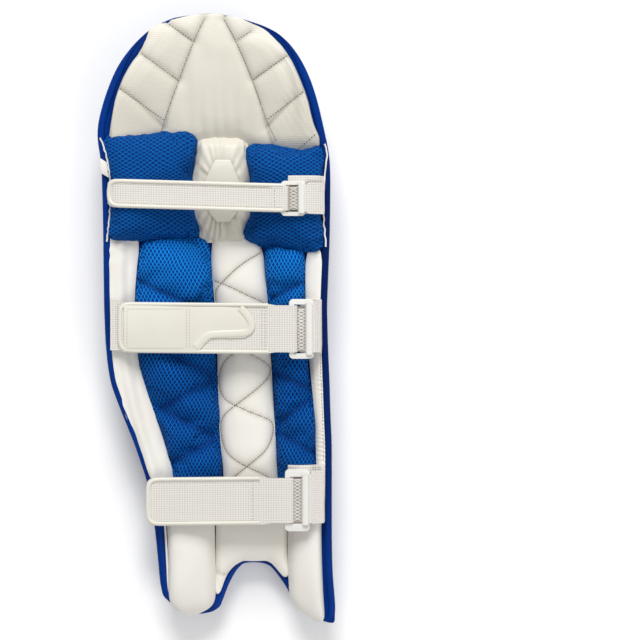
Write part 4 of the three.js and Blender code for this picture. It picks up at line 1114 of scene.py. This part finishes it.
def strap_profile(name):
    strap = STRAPS[name]
    tree = tree_of(NODES["strap_" + name])
    bar = (strap["ring"] - SLOT / 2) * MM
    half = STRAP_THICKNESS / 2 * MM
    lower_x = np.linspace((strap["sewn"] + strap["tuck"]) * MM, bar, 60)
    upper_x = np.linspace(bar, (strap["tip"] + 1) * MM, 60)
    lower = heights_along(tree, np.column_stack([lower_x, strap_middle(strap, lower_x)]), True) + half
    upper = heights_along(tree, np.column_stack([upper_x, strap_middle(strap, upper_x)])) - half
    lower, upper = softened(lower, 3), softened(upper, 6)
    radius = (upper[0] - lower[-1]) / 2
    fold = np.column_stack([bar + radius * np.cos(FOLD_TURN), lower[-1] + radius * (1 + np.sin(FOLD_TURN))])
    return np.vstack([np.column_stack([lower_x, lower]), fold, np.column_stack([upper_x, upper])]), bar


strap_paths = {name: strap_profile(name) for name in STRAPS}
print({name: len(path) for name, (path, bar) in strap_paths.items()})

# %% [markdown]
# The grid's first axis becomes the distance along the path and its second axis the place across the band.
# The same two distances, in metres, are written to the UV map for the weave.

# %% Strap bands
def strap_half_width(strap, x, bar, is_flap):
    narrow = np.clip((x - bar + 34 * MM) / (14 * MM), 0, 1)
    narrow = narrow * narrow * (3 - 2 * narrow)
    half = (strap["width"] * (1 - narrow) + strap["webbing"] * narrow) / 2 * MM
    corner = FLAP_CORNER * MM
    short = np.clip(corner - (x - strap["tip"] * MM), 0, corner)
    rounding = corner - np.sqrt(corner ** 2 - short ** 2)
    return np.where(is_flap, half - rounding, half - 1 * MM)


def lay_band(name, run, x, z, y, half, sections):
    """A flat grid whose length follows the path (x, z) and whose width is 2 * half round the line y."""
    bpy.ops.object.select_all(action="DESELECT")
    bpy.ops.mesh.primitive_grid_add(x_subdivisions=sections, y_subdivisions=12, size=1)
    obj = bpy.context.object
    obj.name = name
    flat = points_of(obj)
    along = (flat[:, 0] + 0.5) * run[-1]
    across = flat[:, 1] * 2 * np.interp(along, run, half)
    middle = np.interp(along, run, y)
    move_points(obj, np.column_stack([np.interp(along, run, x), middle + across, np.interp(along, run, z)]))
    layer = obj.data.uv_layers.active.data
    for corner in obj.data.loops:
        layer[corner.index].uv = (along[corner.vertex_index], across[corner.vertex_index])
    thick = obj.modifiers.new("thick", "SOLIDIFY")
    thick.thickness = STRAP_THICKNESS * MM
    thick.offset = 0
    apply_modifiers(obj)
    edit_whole(obj, bpy.ops.mesh.normals_make_consistent, inside=False)
    bpy.ops.object.shade_smooth_by_angle(angle=math.radians(40))
    return obj


def make_strap(name):
    strap = STRAPS[name]
    path, bar = strap_paths[name]
    path = even(path, 1.5 * MM)
    run = path_run(path)
    x, z = path[:, 0], path[:, 1]
    is_flap = np.arange(len(x)) > np.argmax(x)
    half = strap_half_width(strap, x, bar, is_flap)
    free = np.clip((bar - x) / (60 * MM), 0, 1)
    peek = np.where(is_flap, 0, 1.4 * MM * free)
    sag = np.abs(waves(np.column_stack([x, x]), 60, len(name))) * 0.5 * MM * free
    y = strap_middle(strap, x) + peek
    obj = lay_band("webbing_" + name, run, x, z + np.where(is_flap, sag, 0), y, half, 240)
    return finish_piece(obj, WEBBING, "white_webbing", "strap_" + name)


straps = {name: make_strap(name) for name in STRAPS}
print({name: len(obj.data.polygons) for name, obj in straps.items()})

# %% [markdown]
# The flap's edge is bound in vinyl, rolled over the webbing. The roll runs from near the ring along one
# edge, round the tip and back along the other.

# %% Strap bindings
BINDING_WIDTH, BINDING_HEIGHT = 4.8, 4.2
BINDING_INSET, BINDING_SINK = 2.0, 0.2 * MM


def flap_outline(name, inset):
    strap = STRAPS[name]
    bound = strap["bound"] * MM
    tip, half = (strap["tip"] + inset) * MM, (strap["width"] / 2 - inset) * MM
    corner = (FLAP_CORNER - inset * 0.5) * MM
    turn = np.radians(np.arange(90, 181, 15))
    top = [(x, half) for x in np.linspace(bound, tip + corner, 40)]
    top += [(tip + corner + corner * np.cos(a), half - corner + corner * np.sin(a)) for a in turn[1:]]
    line = np.array(top + [(x, -y) for x, y in reversed(top)])
    line = even(line, 4 * MM)
    return np.column_stack([line[:, 0], line[:, 1] + strap_middle(strap, line[:, 0])])


for name, obj in straps.items():
    tree = tree_of(obj)
    line = flap_outline(name, BINDING_INSET)
    path = np.column_stack([line, heights_along(tree, line) - BINDING_SINK])
    binding = sweep("binding_" + name, softened(path, 2), BINDING_WIDTH, BINDING_HEIGHT)
    finish_piece(binding, VINYL, "white_leather")
    print(binding.name, len(binding.data.polygons), "faces")

# %% [markdown]
# ## Rings and tabs
# The rings are moulded: the CAD frame with its edges rounded by a Bevel modifier. A short doubled tab of
# webbing holds each ring to the pad's edge, and a moulded sleeve grips the tab over the ring's bar.

# %% Rings
def round_edges(obj, width, smooth_to):
    edge = obj.modifiers.new("edge", "BEVEL")
    edge.width = width * MM
    edge.segments = 3
    edge.limit_method = "ANGLE"
    edge.angle_limit = math.radians(50)
    apply_modifiers(obj)
    bpy.ops.object.shade_smooth_by_angle(angle=math.radians(smooth_to))


for name in STRAPS:
    ring = copy_node("loop_" + name, "ring_" + name)
    round_edges(ring, 1.3, 35)
    finish_piece(ring, PLASTIC, "white_plastic", "ring_" + name)

# %% [markdown]
# A tab is a band of webbing folded round the bar of its ring. It is laid as the straps are, and it widens
# towards the edge that it is sewn to.

# %% Tabs and sleeves
TABS = {
    "top": dict(low=124, high=161, end=127.5, back=(84.5, 128.5, 124.5, 169)),
    "middle": dict(low=-38, high=23, end=123.5, back=(99, 124, -40, 24)),
    "bottom": dict(low=-239.5, high=-177, end=127, back=(84, 128, -239.5, -171)),
}


def make_tab(name):
    tab, ring = TABS[name], STRAPS[name]["ring"]
    tree = tree_of(NODES["ring_tab_" + name])
    bar, half = (ring + SLOT / 2) * MM, STRAP_THICKNESS / 2 * MM
    middle = (tab["low"] + tab["high"]) / 2 * MM
    places = np.linspace(bar, (tab["end"] - 1) * MM, 20)
    line = np.column_stack([places, np.full(len(places), middle)])
    lower = softened(heights_along(tree, line, True) + half, 2)
    upper = softened(heights_along(tree, line) - half, 2)
    radius = (upper[0] - lower[0]) / 2
    fold = np.column_stack([bar - radius * np.cos(FOLD_TURN), lower[0] + radius * (1 + np.sin(FOLD_TURN))])
    path = np.vstack([np.column_stack([places, lower])[::-1], fold, np.column_stack([places, upper])])
    path = even(path, 1.0 * MM)
    x, z = path[:, 0], path[:, 1]
    spread = np.clip((x - bar - 4 * MM) / (6 * MM), 0, 1)
    half = (STRAPS[name]["webbing"] * (1 - spread) + (tab["high"] - tab["low"]) * spread) / 2 * MM
    y = strap_middle(STRAPS[name], bar) * (1 - spread) + middle * spread
    obj = lay_band("tab_" + name, path_run(path), x, z, y, half, 60)
    return finish_piece(obj, WEBBING, "white_webbing", "ring_tab_" + name)


tabs = {name: make_tab(name) for name in TABS}
SLEEVE_WIDTH, SLEEVE_HEIGHT, SLEEVE_POINTS = 7.4, 3.2, 24
for name, tab in tabs.items():
    tree = tree_of(tab)
    x = (STRAPS[name]["ring"] + SLOT / 2 + 0.8) * MM
    reach = (STRAPS[name]["webbing"] / 2 + 2.5) * MM
    y = np.linspace(-reach, reach, SLEEVE_POINTS) + strap_middle(STRAPS[name], x)
    line = np.column_stack([np.full(SLEEVE_POINTS, x), y])
    lowest = np.nanmin(heights_along(tree, line, missing=np.nan))
    heights = softened(heights_along(tree, line, missing=lowest), 4)
    sleeve = sweep("ring_sleeve_" + name, np.column_stack([line, heights]), SLEEVE_WIDTH, SLEEVE_HEIGHT)
    finish_piece(sleeve, PLASTIC, "white_plastic")
print({name: len(obj.data.polygons) for name, obj in tabs.items()})

# %% [markdown]
# Under each ring lies a backing of soft loop fabric. It is a grid dropped on the pads, smoothed, and kept
# below the strap and the tab. In the ring's slot a hook strip shows, with a thread that zigzags up it and
# back down, so that it crosses itself.

# %% Draping helper
def drape(name, rows, under, over, lift, thickness, cells):
    """A thick sheet that lies on some pieces and stays under others; each row gives y and the ends in x."""
    bpy.ops.object.select_all(action="DESELECT")
    bpy.ops.mesh.primitive_grid_add(x_subdivisions=cells[0], y_subdivisions=cells[1], size=1)
    obj = bpy.context.object
    obj.name = name
    flat = points_of(obj)
    y_row, x_low, x_high = np.array(rows, float).T
    y = y_row[0] + (flat[:, 1] + 0.5) * (y_row[-1] - y_row[0])
    x_low, x_high = np.interp(y, y_row, x_low), np.interp(y, y_row, x_high)
    x = (x_low + (flat[:, 0] + 0.5) * (x_high - x_low)) * MM
    y = y * MM
    ground, roof = tree_of(*under), tree_of(*over)
    plan = np.column_stack([x, y])
    z = heights_along(ground, plan, missing=50 * MM) + lift * MM
    room = (thickness / 2 + 0.3) * MM
    z = np.minimum(z, heights_along(roof, plan, True, np.inf) - room)
    move_points(obj, np.column_stack([plan, z]))
    smooth = obj.modifiers.new("settle", "SMOOTH")
    smooth.use_x = smooth.use_y = False
    smooth.iterations = 6
    thick = obj.modifiers.new("thick", "SOLIDIFY")
    thick.thickness = thickness * MM
    thick.offset = 0
    edge = obj.modifiers.new("edge", "BEVEL")
    edge.width = 0.4 * thickness * MM
    edge.segments = 2
    edge.angle_limit = math.radians(60)
    apply_modifiers(obj)
    layer = obj.data.uv_layers.active or obj.data.uv_layers.new(name="UVMap")
    for corner in obj.data.loops:
        spot = obj.data.vertices[corner.vertex_index].co
        layer.data[corner.index].uv = (spot.x, spot.y)
    edit_whole(obj, bpy.ops.mesh.normals_make_consistent, inside=False)
    bpy.ops.object.shade_smooth_by_angle(angle=math.radians(45))
    return obj

# %% [markdown]
# The backing comes first, then the hook strip that lies flat in the slot, and last its thread.

# %% Backings, hook strips and their threads
HOOK_LIFT = {"top": 5.5, "middle": 7.0, "bottom": 6.0}
HOOK_HALF, HOOK_THICKNESS = 7.5, 1.0
ZIGZAG_HALF, ZIGZAG_STEP = 4.2, 4.0
BACKING_LIFT, BACKING_THICKNESS = 1.6, 2.2
LEG_SIDE = THICK + THIN + SMOOTH + FLAT
pads = [covers[source] for source in LEG_SIDE] + [shell]
for name in STRAPS:
    over = [straps[name], tabs[name]]
    x_low, x_high, y_low, y_high = TABS[name]["back"]
    rows = [(y_low, x_low, x_high), (y_high, x_low, x_high)]
    backing = drape("backing_" + name, rows, pads, over, BACKING_LIFT, BACKING_THICKNESS, (22, 30))
    finish_piece(backing, WEBBING, "white_webbing")
    ring, reach = STRAPS[name]["ring"], STRAPS[name]["webbing"] / 2 - 1
    middle = strap_middle(STRAPS[name], ring * MM) / MM
    rows = [(middle + side * reach, ring - HOOK_HALF, ring + HOOK_HALF) for side in (-1, 1)]
    hook = drape("hook_" + name, rows, pads + [backing], over, HOOK_LIFT[name], HOOK_THICKNESS, (8, 24))
    points, normals = points_of(hook), normals_of(hook)
    points[:, 2] = np.percentile(points[:, 2], 90) + HOOK_THICKNESS / 2 * MM * np.sign(normals[:, 2])
    move_points(hook, points)
    finish_piece(hook, HOOK, "white_webbing")
    steps = np.arange(-reach + 1.5, reach - 1, ZIGZAG_STEP)
    steps = np.concatenate([steps, steps[::-1]])
    sides = ring + ZIGZAG_HALF * (-1.0) ** np.arange(len(steps))
    zigzag = even(np.column_stack([sides, middle + steps]) * MM, 1.2 * MM)
    heights = heights_along(tree_of(hook), zigzag) + 0.5 * MM
    thread = sweep("slot_thread_" + name, np.column_stack([zigzag, heights]), 1.2, 1.0, sides=2)
    finish_piece(thread, WHITE_THREAD, "white_webbing")
    print(backing.name, hook.name, thread.name)

# %% [markdown]
# ## Small pieces
# The vinyl panel on the middle strap, the folded tab at the knee and the bare label on the front are
# stiff enough to keep their CAD shape, with softened edges. The tab is drawn out and slanted a little, as a
# folded end of tape is. The patch on the knee pad is a thin sheet laid over the pad.

# %% Panel, tab and label
SMALL_PIECES = {"strap_panel": ("strap_patch", VINYL), "knee_tab": ("edge_tab", SHADED_WHITE_LEATHER),
                "bare_label": ("front_label", WHITE_LEATHER)}
TAB_SLANT = 0.6
TAB_MOVE = np.array([2.4, 2, 1.5]) * MM
for name, (source, finish) in SMALL_PIECES.items():
    obj = copy_node(name, source)
    round_edges(obj, 0.5, 40)
    if name == "knee_tab":
        points = points_of(obj)
        across = points[:, 0] - points[:, 0].min()
        points[:, 0] += across * (0.7 + (points[:, 1].max() - points[:, 1]) / (26 * MM))
        points[:, 1] -= TAB_SLANT * (points[:, 0] - points[:, 0].min())
        move_points(obj, points + TAB_MOVE)
    finish_piece(obj, finish, "white_leather", source)

patch = drape("knee_cap_panel", PATCH_ROWS, [NODES["knee_pad"]], [straps["top"]], 2.0, 2.4, (20, 34))
finish_piece(patch, VINYL, "white_leather", "knee_patch", fill=0.6)
print("small pieces", list(SMALL_PIECES), patch.name)

# %% [markdown]
# The panel of the middle strap has a raised lip along its nose and its slanted lower edge. The left foot
# pad is edged with a white piping that shows between it and the rim.

# %% Lip and piping
panel_top = tree_of(bpy.data.objects["strap_panel"])
lip_line = rounded(photo_line((236, 305), (242.5, 309.5), (249.5, 317.8), (252.6, 324.8), (250.4, 330.8),
                              (244.8, 333.4), (211, 334), (205, 337.3), (195.8, 346.6)))
lip_line = np.array([spot for spot in lip_line if height_at(panel_top, *spot) is not None])
lip_heights = softened(heights_along(panel_top, lip_line), 3)
lip = sweep("panel_lip", np.column_stack([lip_line, lip_heights]), 8.6, 2.0)
finish_piece(lip, VINYL, "white_leather")
piping_line = rounded(mm_line((-62, -236), (-60.3, -262), (-58.8, -292), (-58, -314), (-57, -326)))
foot_ground = tree_of(shell, covers["foot_bolster_left"])
piping_heights = softened(heights_along(foot_ground, piping_line, missing=40 * MM), 6)
piping = sweep("foot_piping", np.column_stack([piping_line, piping_heights + 0.8 * MM]), 2.8, 2.4)
finish_piece(piping, WHITE_LEATHER, "white_leather")
print("lip points", len(lip_line), "piping points", len(piping_line))

# %% [markdown]
# ## Stitches
# One stitch is modelled as a short bead of thread and copied along every seam. A ray from above, or from
# below on the front, finds the cover under each stitch, so the thread lies in its valley. A stitch that
# finds no cover, or too steep a one, is left out.

# %% Stitch helper
bpy.ops.object.select_all(action="DESELECT")
bpy.ops.mesh.primitive_uv_sphere_add(segments=6, ring_count=4, radius=0.5)
bead = bpy.context.object
BEAD_POINTS = points_of(bead)
BEAD_FACES = [list(face.vertices) for face in bead.data.polygons]
bpy.data.objects.remove(bead)
STEEPEST = 1.5


def stitch(name, targets, lines, pitch, length, thread, material, lift=0.25, below=False):
    tree = tree_of(*targets)
    points, faces = [], []
    for line in lines:
        spots = even(line, pitch * MM / 2)
        places = np.column_stack([spots, heights_along(tree, spots, below, np.nan)])
        for start, middle, end in zip(places[:-2:2], places[1:-1:2], places[2::2]):
            along = end - start
            if np.isnan(along[2] + middle[2]) or abs(along[2]) > STEEPEST * np.linalg.norm(along[:2]):
                continue
            along /= np.linalg.norm(along)
            side = np.cross([0, 0, 1], along)
            side /= np.linalg.norm(side)
            over = np.cross(along, side)
            middle = middle + over * (-lift if below else lift) * MM
            turned = np.stack([along * length, side * thread, over * thread * 0.8]) * MM
            first = len(points)
            points += (BEAD_POINTS @ turned + middle).tolist()
            faces += [[first + k for k in face] for face in BEAD_FACES]
    data = bpy.data.meshes.new(name)
    data.from_pydata(points, [], faces)
    obj = bpy.data.objects.new(name, data)
    bpy.context.scene.collection.objects.link(obj)
    take(obj)
    bpy.ops.object.shade_smooth()
    return finish_piece(obj, material, "white_leather")

# %% [markdown]
# The thread differs from seam to seam: grey on the quilted leather, blue on the mesh and the front, and white
# or pale grey on the straps.

# %% Rows of stitches
stitch("thigh_stitches", [thigh], [rounded(line) for line in THIGH_SEAMS], 3.4, 2.9, 0.8, DARK_THREAD)
EDGE_SEAM = mm_line((121, 20), (122, -37), (123.6, -81), (125.2, -125), (126.2, -168))
stitch("edge_stitches", [right], [rounded(EDGE_SEAM)], 4.0, 3.4, 0.6, DARK_THREAD)
stitch("shin_stitches", [shin], WAVES, 3.4, 3.0, 0.8, DARK_THREAD)
for source, lines in ZIGZAGS.items():
    lines = [rounded(line) for line in lines]
    stitch(source + "_stitches", [covers[source]], lines, 4.2, 3.4, 1.3, MESH_THREAD, 0.4)
PANEL_SEAMS = [photo_line((128, 309), (184, 309)), photo_line((128, 310), (128, 347)),
               photo_line((128, 348), (184, 348)), photo_line((187, 308), (187, 348)),
               photo_line((190, 308), (190, 348))]
stitch("panel_stitches", [bpy.data.objects["strap_panel"]], PANEL_SEAMS, 3.2, 2.4, 0.7, HOOK, 0.1)
for name in STRAPS:
    stitch("flap_stitches_" + name, [straps[name]], [flap_outline(name, 5.4)], 3.6, 2.6, 0.8, WHITE_THREAD)
ROLL_SEAMS = [
    mm_line((86.7, 84), (87, -198)), mm_line((53.7, 86), (53.7, -198)), mm_line((20.7, 88), (20.7, -198)),
    mm_line((-10.7, 88), (-11.5, -198)), mm_line((-44.4, 86), (-43.4, -326)), mm_line((-70.4, 84), (-75, -176)),
    mm_line((118, 84), (120.6, -340)), mm_line((-80, 233), (-57, 321)), mm_line((-52, 233), (-28, 337)),
    mm_line((-19.5, 233), (3, 342)), mm_line((17, 233), (36, 336)), mm_line((50, 233), (65, 321)),
]
front = [covers[source] for source in FRONT] + [shell]
stitch("roll_stitches", front, ROLL_SEAMS, 4.4, 3.0, 1.0, BLUE_THREAD, 0.3, True)
LABEL_MIDDLE = np.array([36, -244])
SQUARE = np.array([(-1, -1), (1, -1), (1, 1), (-1, 1), (-1, -1)])
label_rows = [(LABEL_MIDDLE + SQUARE * half) * MM for half in (29, 31.5)]
stitch("label_stitches", [covers["instep_panel"]], label_rows, 3.4, 2.4, 0.8, BLUE_THREAD, 0.3, True)
CROSS_SEAMS = {"top": [(69, 128, 155)], "middle": [(54, -36, 15), (58, -36, 15)],
               "bottom": [(43, -236, -190)]}
for name, seams in CROSS_SEAMS.items():
    lines = [mm_line((x, low), (x, high)) for x, low, high in seams]
    stitch("cross_stitches_" + name, [straps[name]], lines, 3.8, 2.2, 0.9, HOOK)

# %% [markdown]
# ## Selvedge
# The mesh of the knee bolsters is cut along a white selvedge, which shows as a thin uneven cord down both
# outer edges. It is a sweep along the measured line, with a small seeded wobble.

# %% Selvedge cords
SELVEDGES = {
    "left": mm_line((-136, 214), (-128, 192), (-124.5, 168), (-124, 150), (-124.5, 128), (-126.5, 108),
                    (-128.5, 92)),
    "right": mm_line((127, 207), (131, 199), (127.5, 172), (126.5, 150), (126, 124), (127.5, 104), (129, 86)),
}
ground = tree_of(shell, covers["knee_bolster_left"], covers["knee_bolster_right"], rim)
for side, line in SELVEDGES.items():
    line = rounded(line, 1.5 * MM)
    wobble = waves(np.column_stack([line[:, 1], line[:, 1]]), 9, len(side)) * 0.9 * MM
    heights = softened(heights_along(ground, line, missing=60 * MM), 4) + 0.7 * MM
    path = np.column_stack([line[:, 0] + wobble, line[:, 1], heights])
    cord = sweep("selvedge_" + side, path, 2.0, 1.8, sides=2)
    finish_piece(cord, WHITE_THREAD, "white_leather")
    print(cord.name, len(path), "points")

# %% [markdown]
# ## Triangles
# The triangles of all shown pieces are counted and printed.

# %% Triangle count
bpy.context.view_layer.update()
total = sum(len(face.vertices) - 2 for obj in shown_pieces() if obj.type == "MESH" for face in obj.data.polygons)
print("triangles", total)
